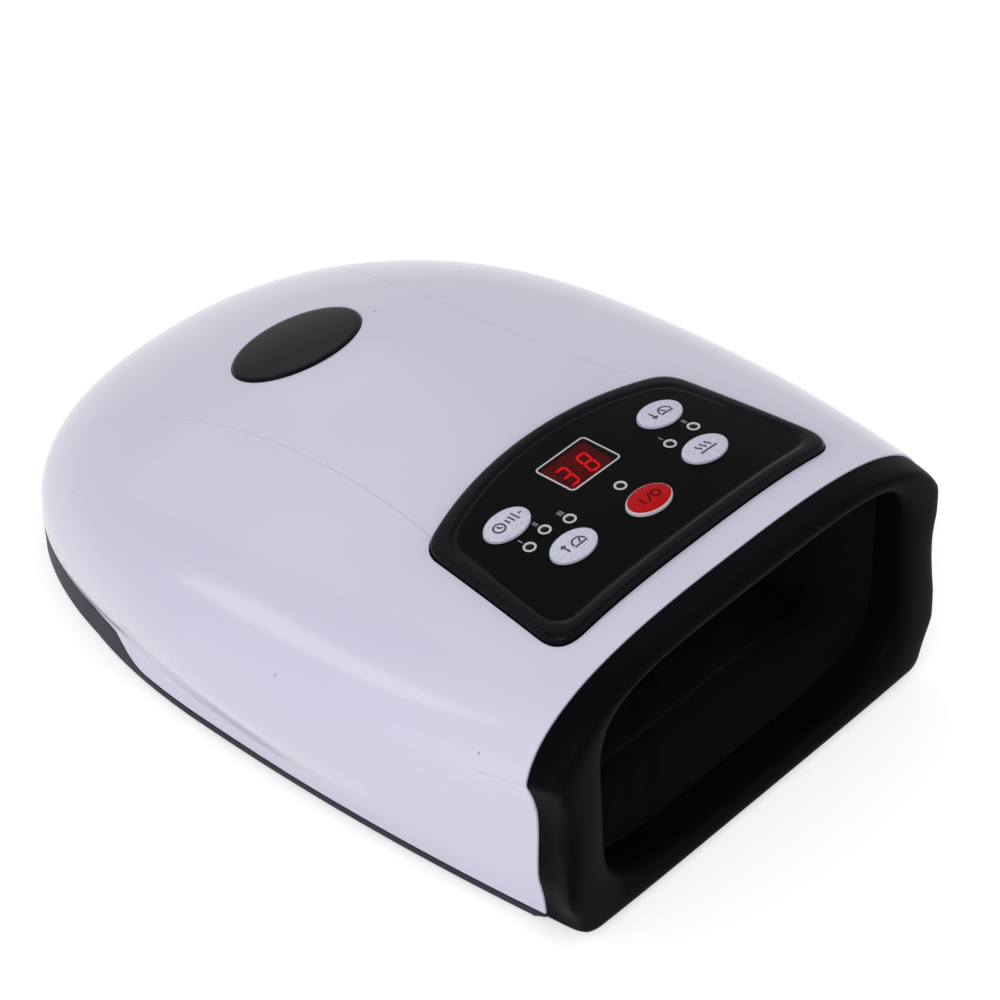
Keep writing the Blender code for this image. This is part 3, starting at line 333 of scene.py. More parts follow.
# The display module's face is dark red, with a faint red emission that is painted glow, since the face is no
# lamp
def moduleFace(place):
    return {
        "Base Color": place.noise(1200, 2).blend(rgb(0.040, 0.014, 0.012), rgb(0.065, 0.020, 0.018)),
        # painted glow on the module face
        "Emission Color": place.noise(170, 1).blend(rgb(0.10, 0.006, 0.010), rgb(0.22, 0.010, 0.016)),
        "Emission Strength": 0.5,
        "Roughness": 0.4 + 0.15 * place.noise(800, 2),
    }


def knitCloth(place):
    weave = place.node("ShaderNodeUVMap", {"uv_map": "weave"}, {})
    across = (weave.axis("X") * (2 * math.pi / (0.9 * mm))).maths("SINE")
    along = (weave.axis("Y") * (2 * math.pi / (0.7 * mm))).maths("SINE")
    stitch = (across * along) * 0.5 + 0.5
    lint = place.noise(900, 4, 0.7)
    shade = 0.6 * stitch + 0.4 * lint
    return {
        "Base Color": shade.blend(rgb(0.0012, 0.0013, 0.0014), rgb(0.0055, 0.0056, 0.0060)),
        "Roughness": 0.78 + 0.18 * lint,
        "Specular IOR Level": 0.04,
        "Sheen Weight": 0.02,
        "Sheen Roughness": 0.5,
        "Bump": (stitch + 0.5 * lint, 0.35, 0.14 * mm),
    }


def sparkPlastic(low, high, rough, gloss):
    def paint(place):
        grain = place.noise(2900, 3, 0.6)
        rub = place.noise(60, 4, 0.6)
        return {
            "Base Color": (0.5 * grain + 0.5 * rub).blend(rgb(*low), rgb(*high)),
            "Roughness": rough + 0.10 * rub,
            "Specular IOR Level": gloss,
            "Bump": (grain, 0.22, 0.08 * mm),
        }

    return paint


def softRubber(low, high, rough):
    def paint(place):
        bloom = place.noise(140, 4, 0.65)
        return {
            "Base Color": bloom.blend(rgb(*low), rgb(*high)),
            "Roughness": rough + 0.12 * bloom,
            "Specular IOR Level": 0.3,
            "Bump": (place.noise(1900, 3), 0.16, 0.08 * mm),
        }

    return paint


def boardGreen(place):
    tracks = place.stretch((1, 0.55, 1)).cells(240, "DISTANCE_TO_EDGE").step(0.05, 0.09)
    pads = 1 - place.cells(420).step(0.14, 0.2)
    copper = pads * place.noise(60, 1).step(0.45, 0.55)
    mask = tracks.blend(rgb(0.030, 0.230, 0.085), rgb(0.012, 0.115, 0.045))
    return {
        "Base Color": copper.blend(mask, rgb(0.80, 0.58, 0.22)),
        "Metallic": 0.9 * copper,
        "Roughness": 0.42 - 0.12 * copper,
        "Bump": (copper + 0.4 * (1 - tracks), 0.3, 0.05 * mm),
    }


def warmFilm(place):
    ribs = (place.axis("X") * (2 * math.pi / (7 * mm))).maths("SINE").step(0.1, 0.3)
    worn = place.noise(150, 3)
    return {
        "Base Color": ribs.blend(rgb(0.58, 0.27, 0.06), rgb(0.52, 0.30, 0.18)),
        "Metallic": 0.8 * ribs,
        "Roughness": 0.28 + 0.14 * worn,
        "Bump": (ribs, 0.25, 0.04 * mm),
    }


def drawnMetal(low, high, rough):
    def paint(place):
        lines = place.stretch((40, 1400, 1400)).noise(1.0, 3, 0.6)
        tarnish = place.noise(160, 4, 0.6)
        return {
            "Base Color": (0.5 * lines + 0.5 * tarnish).blend(rgb(*low), rgb(*high)),
            "Metallic": 1.0,
            "Roughness": rough + 0.14 * lines,
            "Bump": (lines, 0.10, 0.04 * mm),
        }

    return paint


finishes = {
    "casingWhite": glossCasing,
    "fasciaBlack": glossBlack,
    "fasciaFilm": printedFilm,
    "bezelBlack": softBezel,
    "keySilver": flakeSilver,
    "keyRed": keyRed,
    "paleRing": paleRing,
    "keyPrint": printInk,
    "powerPrint": sparkPlastic((0.050, 0.003, 0.003), (0.085, 0.005, 0.005), 0.50, 0.03),
    "fasciaPrint": printPale,
    "displayGlass": redGlass,
    "lightLens": smokedLens,
    "digitLit": glowRed,
    "digitUnlit": unlitRed,
    "moduleFace": moduleFace,
    "blackKnit": knitCloth,
    "baseGrey": sparkPlastic((0.018, 0.015, 0.027), (0.034, 0.029, 0.050), 0.46, 0.10),
    "innerPlastic": sparkPlastic((0.018, 0.018, 0.020), (0.034, 0.034, 0.037), 0.46, 0.4),
    "whiteMoulding": sparkPlastic((0.56, 0.53, 0.60), (0.64, 0.61, 0.68), 0.40, 0.5),
    "cellSkin": softRubber((0.060, 0.060, 0.064), (0.100, 0.100, 0.108), 0.42),
    "footRubber": softRubber((0.012, 0.012, 0.013), (0.030, 0.030, 0.031), 0.74),
    "hoseSkin": softRubber((0.16, 0.15, 0.14), (0.24, 0.23, 0.21), 0.40),
    "boardGreen": boardGreen,
    "warmFilm": warmFilm,
    "steel": drawnMetal((0.42, 0.42, 0.44), (0.62, 0.62, 0.64), 0.26),
    "brass": drawnMetal((0.56, 0.38, 0.13), (0.78, 0.58, 0.26), 0.24),
}
finish = {name: makeMaterial(name, paint) for name, paint in finishes.items()}
print("finishes made:", len(finish))


# Mesh helpers

def toFrame(points):
    moved = np.array(points, float).reshape(-1, 3)
    moved[:, 1] -= casing["length"] / 2
    return moved


def gridFaces(rows, columns, around=False, along=False):
    lastRow = rows if along else rows - 1
    lastColumn = columns if around else columns - 1
    faces = []
    for i in range(lastRow):
        for j in range(lastColumn):
            here, there = i * columns, (i + 1) % rows * columns
            k = (j + 1) % columns
            faces.append((here + j, here + k, there + k, there + j))
    return faces


def makeMesh(name, points, faces, weave=None):
    mesh = bpy.data.meshes.new(name)
    mesh.from_pydata(toFrame(points).tolist(), [], faces)
    if weave is not None:
        corner = np.empty(len(mesh.loops), np.int32)
        mesh.loops.foreach_get("vertex_index", corner)
        layer = mesh.uv_layers.new(name="weave")
        layer.data.foreach_set("uv", np.asarray(weave, np.float32).reshape(-1, 2)[corner].ravel())
    work = bmesh.new()
    work.from_mesh(mesh)
    bmesh.ops.remove_doubles(work, verts=work.verts, dist=0.002 * mm)
    bmesh.ops.recalc_face_normals(work, faces=work.faces)
    work.to_mesh(mesh)
    work.free()
    return mesh


def smoothMesh(mesh, degrees=35):
    mesh.shade_smooth()
    mesh.set_sharp_from_angle(angle=math.radians(degrees))


def makePiece(name, mesh, material, degrees=35):
    smoothMesh(mesh, degrees)
    for each in material if isinstance(material, tuple) else (material,):
        mesh.materials.append(finish[each])
    return newObject(name, mesh)


def join(parts):  # several (points, faces) lists as one
    points, faces, start = [], [], 0
    for some, theirs in parts:
        some = np.asarray(some, float).reshape(-1, 3)
        points.append(some)
        faces += [tuple(start + i for i in face) for face in theirs]
        start += len(some)
    return np.concatenate(points), faces


def loft(rows, along=False, capStart=True, capEnd=True):  # closed loops joined one to the next
    rows = np.asarray(rows, float)
    count, size = rows.shape[:2]
    faces = gridFaces(count, size, True, along)
    if not along and capStart:
        faces.append(tuple(range(size))[::-1])
    if not along and capEnd:
        faces.append(tuple((count - 1) * size + i for i in range(size)))
    return rows.reshape(-1, 3), faces


def pocketFaces(rows, columns):  # two grids, one over the other, joined round their rims
    size = rows * columns
    faces = gridFaces(rows, columns)
    faces += [tuple(size + i for i in face[::-1]) for face in faces]
    rim = list(range(columns)) + [i * columns + columns - 1 for i in range(1, rows)]
    rim += [(rows - 1) * columns + j for j in range(columns - 2, -1, -1)]
    rim += [i * columns for i in range(rows - 2, 0, -1)]
    for here, there in zip(rim, rim[1:] + rim[:1]):
        faces.append((here, there, size + there, size + here))
    return faces


def clothStrip(name, layers, weaves):  # a cloth with two faces, closed at both ends
    rows = np.array(layers[0] + layers[1][::-1])
    weave = np.array(weaves[0] + weaves[1][::-1]).reshape(-1, 2)
    count, size = rows.shape[:2]
    faces = gridFaces(count, size, False, True)
    faces.append(tuple(i * size for i in range(count)))
    faces.append(tuple(i * size + size - 1 for i in range(count))[::-1])
    return makePiece(name, makeMesh(name, rows.reshape(-1, 3), faces, weave), "blackKnit", 60)


def lengthAlong(line):  # how far each point of a line lies from its start
    return np.concatenate(([0], np.cumsum(np.linalg.norm(np.diff(line, axis=0), axis=1))))


def finishPiece(piece, body="casing", nodes=()):
    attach(piece, body)
    if nodes:
        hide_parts(*nodes)


def evaluatedMesh(piece):
    bpy.context.view_layer.update()
    graph = bpy.context.evaluated_depsgraph_get()
    return bpy.data.meshes.new_from_object(piece.evaluated_get(graph), depsgraph=graph)


def swapMesh(piece, mesh):
    old, piece.data = piece.data, mesh
    bpy.data.meshes.remove(old)


def discard(spare):
    mesh = spare.data
    bpy.data.objects.remove(spare)
    bpy.data.meshes.remove(mesh)


def cut(piece, parts, how="DIFFERENCE"):  # one Boolean with a closed (points, faces) tool
    tool = newObject("tool", makeMesh("tool", *parts))
    step = piece.modifiers.new("cut", "BOOLEAN")
    step.operation, step.solver, step.object = how, "EXACT", tool
    mesh = evaluatedMesh(piece)
    piece.modifiers.remove(step)
    mesh.materials.clear()
    for material in piece.data.materials:
        mesh.materials.append(material)
    swapMesh(piece, mesh)
    discard(tool)


# The casing's form

casing = {
    "width": 0.190,
    "length": 0.252,
    "crown": 0.0878,
    "crownFall": 0.0117,
    "crownBend": 0.0245,
    "widest": 0.132,
    "narrowing": 0.0172,
    "shoulderFront": 0.050,
    "shoulderRear": 0.0121,
    "tuckFront": 0.0072,
    "tuckMiddle": 0.0042,
    "tuckRear": 0.0005,
    "tuckEnd": ((0.100, 0.002), (0.130, 0.004), (0.165, 0.011)),  # at what height it ends, by depth
    "tuckFade": (0.030, 0.036),  # how far before the back it is gone, and over what length it goes
    "rearDraw": 0.0050,  # how far the rear flank draws in, where, and between which heights
    "rearDrawPlace": 0.165,
    "rearDrawReach": 0.075,
    "rearDrawTop": 0.049,
    "rearDrawRun": 0.033,
    "dip": 0.0054,  # the hollow under the flank's crease
    "dipAbove": 0.012,
    "dipBelowShare": 0.42,
    "dipEnd": 0.085,
    "dipPowers": (0.75, 1.3),
    "planPower": 2.26,
    "topPower": (2.0, 1.0),  # at the back, and what the front adds
    "edgePower": (2.6, 0.4),
    "wall": 0.0024,
    "front": 0.014,
    "skirtFront": 0.0047,  # height of the casing's lower edge
    "skirtRear": 0.0130,
    "skirtFall": 0.0026,
    "notchDepth": 0.160,  # where the lower edge starts to step up
    "notchRun": 0.0135,
    "notchPower": 2.2,
    "spacing": 0.0026,
    "topSteps": 46,
    "skirtSteps": 18,
    "edgeRound": ((0.30 * mm, 0.0), (0.11 * mm, 0.07 * mm), (0.0, 0.24 * mm)),  # up, in
}
gap = 0.3 * mm


def backShare(depth):
    return np.clip(np.asarray(depth, float) / casing["length"], 0, 1)


def crownAt(depth):
    share = backShare(depth)
    return casing["crown"] - casing["crownFall"] * share - casing["crownBend"] * share**2


def shoulderAt(depth):
    return casing["shoulderFront"] + (casing["shoulderRear"] - casing["shoulderFront"]) * backShare(depth)


def topPower(depth):
    rear, more = casing["topPower"]
    return rear + more * (1 - backShare(depth)) ** 2


def edgePower(depth):
    rear, more = casing["edgePower"]
    return rear + more * (1 - backShare(depth)) ** 2


def halfWidth(depth):
    share = np.maximum(casing["widest"] - depth, 0) / casing["widest"]
    return casing["width"] / 2 - casing["narrowing"] * share**2


def easeIn(share):
    return share * share * (3 - 2 * share)


def tuckIn(depth, height):  # how far the flank stands in towards its foot
    shoulder = shoulderAt(depth)
    end = np.interp(depth, *zip(*casing["tuckEnd"]))
    share = np.clip((shoulder - height) / np.maximum(shoulder - end, 0.5 * mm), 0, 1)
    back = backShare(depth)
    most = casing["tuckFront"] + (casing["tuckRear"] - casing["tuckFront"]) * back**2
    most = most + 4 * casing["tuckMiddle"] * back * (1 - back) - rearDraw(depth, 0.0)
    clear, run = casing["tuckFade"]
    fade = np.clip((casing["length"] - clear - depth) / run, 0, 1)
    return np.maximum(most, 0) * fade * (1 - np.cos(np.pi * share)) / 2


def rearDraw(depth, height):  # the rear flank already draws in above its shoulder
    near = np.clip(1 - ((depth - casing["rearDrawPlace"]) / casing["rearDrawReach"]) ** 2, 0, 1) ** 2
    share = np.clip((casing["rearDrawTop"] - height) / casing["rearDrawRun"], 0, 1)
    return casing["rearDraw"] * near * easeIn(share)


def flankDip(depth, height):  # the hollow under the flank's crease, which fades towards the back
    shoulder = shoulderAt(depth)
    sharp, hollow = casing["dipPowers"]
    top, bottom = shoulder + casing["dipAbove"], shoulder * casing["dipBelowShare"]
    share = np.clip((top - height) / (top - bottom), 0, 1)
    fade = 1 - easeIn(np.clip(depth / casing["dipEnd"], 0, 1))
    bend = np.maximum(np.sin(np.pi * share**sharp), 0) ** hollow
    return casing["dip"] * fade * bend + rearDraw(depth, height)


def planShare(side, depth, inset=0.0):
    depth = np.asarray(depth, float)
    power, widest = casing["planPower"], casing["widest"]
    front = np.abs(side) / (halfWidth(depth) - inset)
    across = (np.abs(side) / (casing["width"] / 2 - inset)) ** power
    along = (np.maximum(depth - widest, 0) / (casing["length"] - widest - inset)) ** power
    return np.where(depth < widest, front, (across + along) ** (1 / power))


def topHeight(side, depth, inset=0.0):
    share = np.minimum(planShare(side, depth, inset), 1)
    rise = (1 - share ** topPower(depth)) ** (1 / edgePower(depth))
    return shoulderAt(depth) + (crownAt(depth) - inset - shoulderAt(depth)) * rise


def skirtHeight(depth):
    share = np.clip((depth - casing["notchDepth"]) / casing["notchRun"], 0, 1) ** casing["notchPower"]
    height = casing["skirtFront"] + (casing["skirtRear"] - casing["skirtFront"]) * share
    return np.minimum(height, shoulderAt(depth) - casing["skirtFall"])


def casingField(points):  # below 0 inside the casing and above 0 outside
    side, depth, height = points.T
    side = np.abs(side) + flankDip(depth, height)
    shoulder = shoulderAt(depth)
    rise = np.maximum(height - shoulder, 0) / (crownAt(depth) - shoulder)
    above = rise ** edgePower(depth) + planShare(side, depth) ** topPower(depth) - 1
    below = planShare(side, depth, tuckIn(depth, height)) - 1
    return np.where(height > shoulder, above, below)


def casingSlope(points):
    step = 0.02 * mm
    slope = np.empty_like(points)
    for axis in range(3):
        move = np.zeros(3)
        move[axis] = step
        slope[:, axis] = (casingField(points + move) - casingField(points - move)) / (2 * step)
    return slope


def casingNormals(points):
    slope = casingSlope(points)
    return slope / np.maximum(np.linalg.norm(slope, axis=1), 1e-9)[:, None]


def outlinePoint(station, drawIn, share=1.0):
    depth, turn = station[:2]
    if turn is None:
        return share * (halfWidth(depth) - drawIn), depth + 0 * share
    power, widest = 2 / casing["planPower"], casing["widest"]
    across = (casing["width"] / 2 - drawIn) * max(math.cos(turn), 0.0) ** power
    along = (casing["length"] - widest - drawIn) * math.sin(turn) ** power
    return share * across, widest + share * along


def outlineStations(start):  # (depth, turn) places along the right half, evenly spaced
    widest = casing["widest"]
    rows = np.linspace(start, widest, round((widest - start) / casing["spacing"]) + 1)
    stations = [(depth, None) for depth in rows]
    turns = np.linspace(0, math.pi / 2, 3000)
    line = np.array([outlinePoint((None, turn), 0) for turn in turns])
    length = lengthAlong(line)
    count = round(length[-1] / casing["spacing"])
    even = np.interp(np.linspace(0, length[-1], count + 1)[1:], length, turns)
    return stations + [(None, turn) for turn in even]


def rib(station, inset, edgeIn=0.0, rounded=True):
    nominal = outlinePoint(station, 0.0)[1]
    turn = np.linspace(0, math.pi / 2, casing["topSteps"] + 1)
    share = np.sin(turn) ** (2 / topPower(nominal))
    side, depth = outlinePoint(station, inset + edgeIn, share)
    height = topHeight(side, depth, inset + edgeIn)
    points = [np.column_stack((side - flankDip(depth, height), depth, height))]
    upper, lower = shoulderAt(nominal), skirtHeight(nominal)
    reach = casing["edgeRound"][0][0]
    heights = [(h, 0.0) for h in np.linspace(upper, lower + reach, casing["skirtSteps"] + 1)[1:-1]]
    heights += [(lower + up, inward if rounded else 0.0) for up, inward in casing["edgeRound"]]
    for height, inward in heights:
        side, depth = outlinePoint(station, inset + edgeIn + inward + tuckIn(nominal, height))
        points.append(np.array([[side - flankDip(depth, height), depth, height]]))
    return np.concatenate(points)


def casingGrid(inset, rounded):
    front = casing["front"]
    edge = casing["edgeRound"]
    places = [((front + up, None), inward if rounded else 0.0) for up, inward in edge[::-1]]
    places += [(station, 0.0) for station in outlineStations(front + edge[0][0])[1:]]
    right = np.array([rib(station, inset, edgeIn, rounded) for station, edgeIn in places])
    left = right * (-1, 1, 1)
    return np.concatenate((left[:-1], right[::-1]))


def casingSolid():
    outer, inner = casingGrid(0.0, True), casingGrid(casing["wall"], False)
    rows, columns = outer.shape[:2]
    size = rows * columns
    faces = gridFaces(rows, columns)
    faces += [tuple(size + i for i in face[::-1]) for face in faces]
    last = columns - 1
    for i in range(rows - 1):
        here, there = i * columns + last, (i + 1) * columns + last
        faces.append((here, there, size + there, size + here))
    for row in (0, rows - 1):
        for j in range(columns - 1):
            here = row * columns + j
            faces.append((here, here + 1, size + here + 1, size + here))
    return np.concatenate((outer.reshape(-1, 3), inner.reshape(-1, 3))), faces


def trueNormals(piece, raised=0.0):  # the formula's own normals on the outer skin
    mesh = piece.data
    count = len(mesh.vertices)
    points = np.empty(count * 3)
    mesh.vertices.foreach_get("co", points)
    points = points.reshape(-1, 3)
    points[:, 1] += casing["length"] / 2
    points[:, 2] -= raised
    slope = casingSlope(points)
    size = np.maximum(np.linalg.norm(slope, axis=1), 1e-9)
    away = np.abs(casingField(points)) / size
    normals = slope / size[:, None]
    corners = np.zeros((len(mesh.loops), 3))
    for face in mesh.polygons:
        held = list(face.vertices)
        if away[held].max() < 0.12 * mm and normals[held[0]] @ np.array(face.normal) > 0.8:
            corners[list(face.loop_indices)] = normals[held]
    mesh.normals_split_custom_set(corners.tolist())


# Control fascia, its window in the casing and the seams of the rear cover

fascia = {
    "backHalf": 0.0486,
    "backDepth": 0.080,
    "backBulge": 0.0095,
    "bowFrom": 0.875,  # share of the back edge at which the bow meets the corners
    "bowLift": (0.8, 0.2),
    "frontHalf": 0.0552,
    "frontDepth": 0.0246,
    "backRound": 0.006,
    "frontRound": 0.009,
    "raise": 0.0022,
    "under": 0.0008,
    "border": 0.0045,
    "recess": 0.0006,
    "cornerSteps": 12,
    "sideSteps": 20,
    "centre": (0.0, 0.055),
    "holes": (0.06, 0.10),  # between these heights the openings are cut
}
seam = {
    "half": 0.0383,
    "flare": 0.0063,
    "waist": 0.138,
    "run": 0.060,
    "gap": 0.05 * mm,
    "start": 0.0775,
    "foot": 0.005,
    "spacing": 1.5 * mm,
    "deep": -3.0 * mm,
    "clear": 1.5 * mm,
}
seamLip = ((0.0, -0.11 * mm), (0.02 * mm, -0.04 * mm), (0.06 * mm, 0.0), (0.11 * mm, 0.03 * mm))
lipSteps = ((0.0, -0.34 * mm), (0.05 * mm, -0.15 * mm), (0.15 * mm, -0.04 * mm), (0.30 * mm, 0.03 * mm))


def fasciaOutline(grow):
    frontHalf, backHalf = fascia["frontHalf"] + grow, fascia["backHalf"] + grow
    front, back = fascia["frontDepth"] - grow, fascia["backDepth"] + grow
    corners = [(-frontHalf, front), (frontHalf, front), (backHalf, back), (-backHalf, back)]
    rounds = [fascia["frontRound"], fascia["frontRound"], fascia["backRound"], fascia["backRound"]]
    meet = fascia["bowFrom"]
    pieces = []
    for i in range(4):
        here = np.array(corners[i])
        before, after = np.array(corners[i - 1]) - here, np.array(corners[(i + 1) % 4]) - here
        if i == 2:  # the back edge leaves its corners along the bow
            after = np.array((meet * backHalf, bowDepth(meet) + grow)) - here
        if i == 3:
            before = np.array((-meet * backHalf, bowDepth(meet) + grow)) - here
        before, after = before / np.linalg.norm(before), after / np.linalg.norm(after)
        t = np.linspace(0, 1, fascia["cornerSteps"] + 1)[:, None]
        pieces.append(here + rounds[i] * (before * (1 - t) ** 2 + after * t**2))
    outline = []
    for i in range(4):
        outline.append(pieces[i])
        start, end = pieces[i][-1], pieces[(i + 1) % 4][0]
        t = np.linspace(0, 1, fascia["sideSteps"] + 1)[1:-1, None]
        if i == 2:
            sides = (start + (end - start) * t)[:, 0]
            bow = bowDepth(sides / backHalf) + grow
            lifts = [point[1] - bowDepth(point[0] / backHalf) - grow for point in (end, start)]
            lift = np.interp(sides, (end[0], start[0]), lifts)
            clear, run = (share * start[0] for share in fascia["bowLift"])
            near = np.clip((np.abs(sides) - clear) / run, 0, 1)
            outline.append(np.column_stack((sides, bow + lift * near)))
        else:
            outline.append(start + (end - start) * t)
    return np.concatenate(outline)


def bowDepth(share):
    return fascia["backDepth"] + fascia["backBulge"] * (1 - share * share)


def onTop(plan, lift):  # plan points laid on the casing's top, lifted straight up
    plan = np.asarray(plan, float).reshape(-1, 2)
    return np.column_stack((plan, topHeight(plan[:, 0], plan[:, 1]) + lift))


def atHeight(plan, height):
    plan = np.asarray(plan, float).reshape(-1, 2)
    return np.column_stack((plan, np.full(len(plan), height)))


def windowTool():
    rows = [atHeight(fasciaOutline(gap), 0.045)]
    rows += [onTop(fasciaOutline(gap + grow), lift) for grow, lift in lipSteps]
    rows.append(atHeight(fasciaOutline(gap + lipSteps[-1][0]), 0.1))
    return loft(rows)


def seamSide(depth):
    return seam["half"] + seam["flare"] * ((depth - seam["waist"]) / seam["run"]) ** 2


def seamTool(hand):
    depth = np.linspace(seam["start"], casing["length"], 4000)
    depth = depth[planShare(seamSide(depth), depth) < 1]
    top = onTop(np.column_stack((seamSide(depth), depth)), 0.0)
    side, last, level = top[-1]
    down = []
    for height in np.linspace(level, seam["foot"], 12)[1:]:
        shrink = 1 - float(tuckIn(last, height)) / (casing["length"] - casing["widest"])
        down.append((side * shrink, casing["widest"] + (last - casing["widest"]) * shrink, height))
    line = np.concatenate((top, np.array(down)))
    length = lengthAlong(line)
    even = np.linspace(0, length[-1], round(length[-1] / seam["spacing"]))
    line = np.column_stack([np.interp(even, length, line[:, axis]) for axis in range(3)])
    tangent = np.gradient(line, axis=0)
    tangent /= np.linalg.norm(tangent, axis=1)[:, None]
    normal = casingNormals(line - (0, 0, 0.01 * mm))
    normal -= (normal * tangent).sum(1)[:, None] * tangent
    normal /= np.linalg.norm(normal, axis=1)[:, None]
    across = np.cross(tangent, normal)
    half = seam["gap"] / 2
    ring = [(half, seam["deep"])] + [(half + grow, lift) for grow, lift in seamLip]
    ring.append((half + seamLip[-1][0], seam["clear"]))
    ring += [(-a, b) for a, b in ring[::-1]]
    rows = [line + across * a + normal * b for a, b in ring]
    rows = np.transpose(np.array(rows), (1, 0, 2)) * (hand, 1, 1)
    return loft(rows)


badge = {
    "half": 0.0218,
    "breadth": 0.0153,
    "depth": 0.1805,
    "sunk": 0.0012,
    "proud": 0.0009,
    "dome": 0.35 * mm,
}


def oval(centre, half, breadth, count=72):
    turn = np.linspace(0, 2 * math.pi, count, endpoint=False)
    return np.column_stack((centre[0] + half * np.cos(turn), centre[1] + breadth * np.sin(turn)))


def shrinkTo(plan, centre, share):
    return np.asarray(centre) + (np.asarray(plan) - centre) * share


def badgeTool():
    centre = (0.0, badge["depth"])
    half, breadth = badge["half"] + gap / 2, badge["breadth"] + gap / 2
    floor = oval(centre, half, breadth)
    rows = [onTop(shrinkTo(floor, centre, share), -badge["sunk"]) for share in (0.02, 0.3, 0.6, 0.85, 1.0)]
    rows += [onTop(oval(centre, half + grow, breadth + grow), lift) for grow, lift in lipSteps]
    rows.append(atHeight(rows[-1][:, :2], 0.09))
    return loft(rows)


def tube(start, end, radius, count=40):  # a closed cylinder between two points
    start, end = np.array(start, float), np.array(end, float)
    along = (end - start) / np.linalg.norm(end - start)
    aside = np.cross(along, (0, 0, 1) if abs(along[2]) < 0.9 else (1, 0, 0))
    aside /= np.linalg.norm(aside)
    other = np.cross(along, aside)
    turn = np.linspace(0, 2 * math.pi, count, endpoint=False)[:, None]
    ring = radius * (np.cos(turn) * aside + np.sin(turn) * other)
    return loft([start + ring, end + ring])


socket = {
    "side": 0.020,
    "height": 0.0155,
    "radius": 0.0036,
    "bore": 0.0028,
    "pin": 0.001,
    "inward": 0.0135,
    "blockTop": 0.0198,
}


def islands(mesh):  # which loose part each vertex is in
    owner = list(range(len(mesh.vertices)))

    def find(i):
        while owner[i] != i:
            owner[i] = owner[owner[i]]
            i = owner[i]
        return i

    for edge in mesh.edges:
        a, b = find(edge.vertices[0]), find(edge.vertices[1])
        if a != b:
            owner[a] = b
    return np.array([find(i) for i in range(len(owner))])


def keepPart(piece, name, wanted):
    copy = piece.data.copy()
    work = bmesh.new()
    work.from_mesh(copy)
    work.verts.ensure_lookup_table()
    bmesh.ops.delete(work, geom=[vert for vert in work.verts if not wanted[vert.index]], context="VERTS")
    work.to_mesh(copy)
    work.free()
    return newObject(name, copy)


def makeCasing():
    whole = makePiece("whole", makeMesh("whole", *casingSolid()), "casingWhite")
    cut(whole, windowTool())
    for hand in (-1, 1):
        cut(whole, seamTool(hand))
    owner = islands(whole.data)
    points = np.array([vert.co for vert in whole.data.vertices])
    rear = owner[np.argmax(points[:, 1])]
    shell = keepPart(whole, "shell_skin", owner != rear)
    cover = keepPart(whole, "cover_skin", owner == rear)
    bpy.data.objects.remove(whole)
    cut(cover, badgeTool())
    hole = (socket["side"], casing["length"] - 0.02, socket["height"])
    cut(cover, tube(hole, (hole[0], casing["length"] + 0.01, hole[2]), socket["radius"] + gap))
    for piece in (shell, cover):
        smoothMesh(piece.data, 32)
        trueNormals(piece)
    finishPiece(shell, nodes=("upper_shell",))
    finishPiece(cover, nodes=("rear_cover",))
    print("casing:", len(shell.data.polygons), "and", len(cover.data.polygons), "faces")


makeCasing()


def makeBadge():
    centre, proud = (0.0, badge["depth"]), badge["proud"]
    edge = [(0.0, -badge["sunk"] + gap), (0.0, proud - 0.7 * mm), (-0.12 * mm, proud - 0.32 * mm)]
    edge += [(-0.38 * mm, proud - 0.09 * mm), (-0.75 * mm, proud)]
    rows = [onTop(shrinkTo(oval(centre, badge["half"], badge["breadth"]), centre, 0.02), edge[0][1])]
    for grow, lift in edge:
        rows.append(onTop(oval(centre, badge["half"] + grow, badge["breadth"] + grow), lift))
    plan = rows[-1][:, :2]
    for share in np.linspace(1, 0, 12)[1:]:
        share = max(share, 0.01)
        rows.append(onTop(shrinkTo(plan, centre, share), proud + badge["dome"] * (1 - share**2)))
    piece = makePiece("badge_dome", makeMesh("badge_dome", *loft(rows)), "fasciaBlack", 40)
    finishPiece(piece, nodes=("badge",))


makeBadge()

keys = {
    "half": 0.0075,
    "breadth": 0.0053,
    "proud": 0.0009,
    "crown": 0.0005,
    "bottom": 0.0751,
    "signScale": 1.12,
    "signWidth": 0.56 * mm,
    "places": {
        "timer": (-0.0305, 0.067),
        "pressure": (-0.0262, 0.0468),
        "release": (0.0305, 0.067),
        "heat": (0.0262, 0.0468),
        "power": (0.0, 0.0436),
    },
}
lights = {
    "ring": 0.0019,
    "lens": 0.00125,
    "barPitch": 0.62 * mm,
    "barWidth": 0.26 * mm,
    "barFrom": 2.6 * mm,
    "barTo": 4.4 * mm,
    "bars": {
        "timer_light_1": 1, "timer_light_2": 2, "timer_light_3": 3, "level_light_1": 1, "level_light_2": 2},
    "places": {
        "timer_light_1": (-0.0330, 0.0563),
        "timer_light_2": (-0.0257, 0.0577),
        "timer_light_3": (-0.0185, 0.0553),
        "power_light": (0.0, 0.0539),
        "level_light_1": (0.0222, 0.0558),
        "level_light_2": (0.0325, 0.0564),
    },
}
display = {"half": 0.0098, "breadth": 0.0073, "depth": 0.0694, "corner": 0.0015, "thickness": 0.0012}
filmLift = fascia["raise"] - fascia["recess"]


def roundedBox(centre, half, breadth, corner, steps=6):
    outline = []
    for i, (x, y) in enumerate(((1, -1), (1, 1), (-1, 1), (-1, -1))):
        middle = np.array((centre[0] + x * (half - corner), centre[1] + y * (breadth - corner)))
        turn = np.linspace(0, math.pi / 2, steps + 1) + math.pi / 2 * (i - 1)
        outline.append(middle + corner * np.column_stack((np.cos(turn), np.sin(turn))))
    return np.concatenate(outline)


def displayOutline(grow):
    half, breadth, corner = (display[key] + grow for key in ("half", "breadth", "corner"))
    return roundedBox((0.0, display["depth"]), half, breadth, corner)


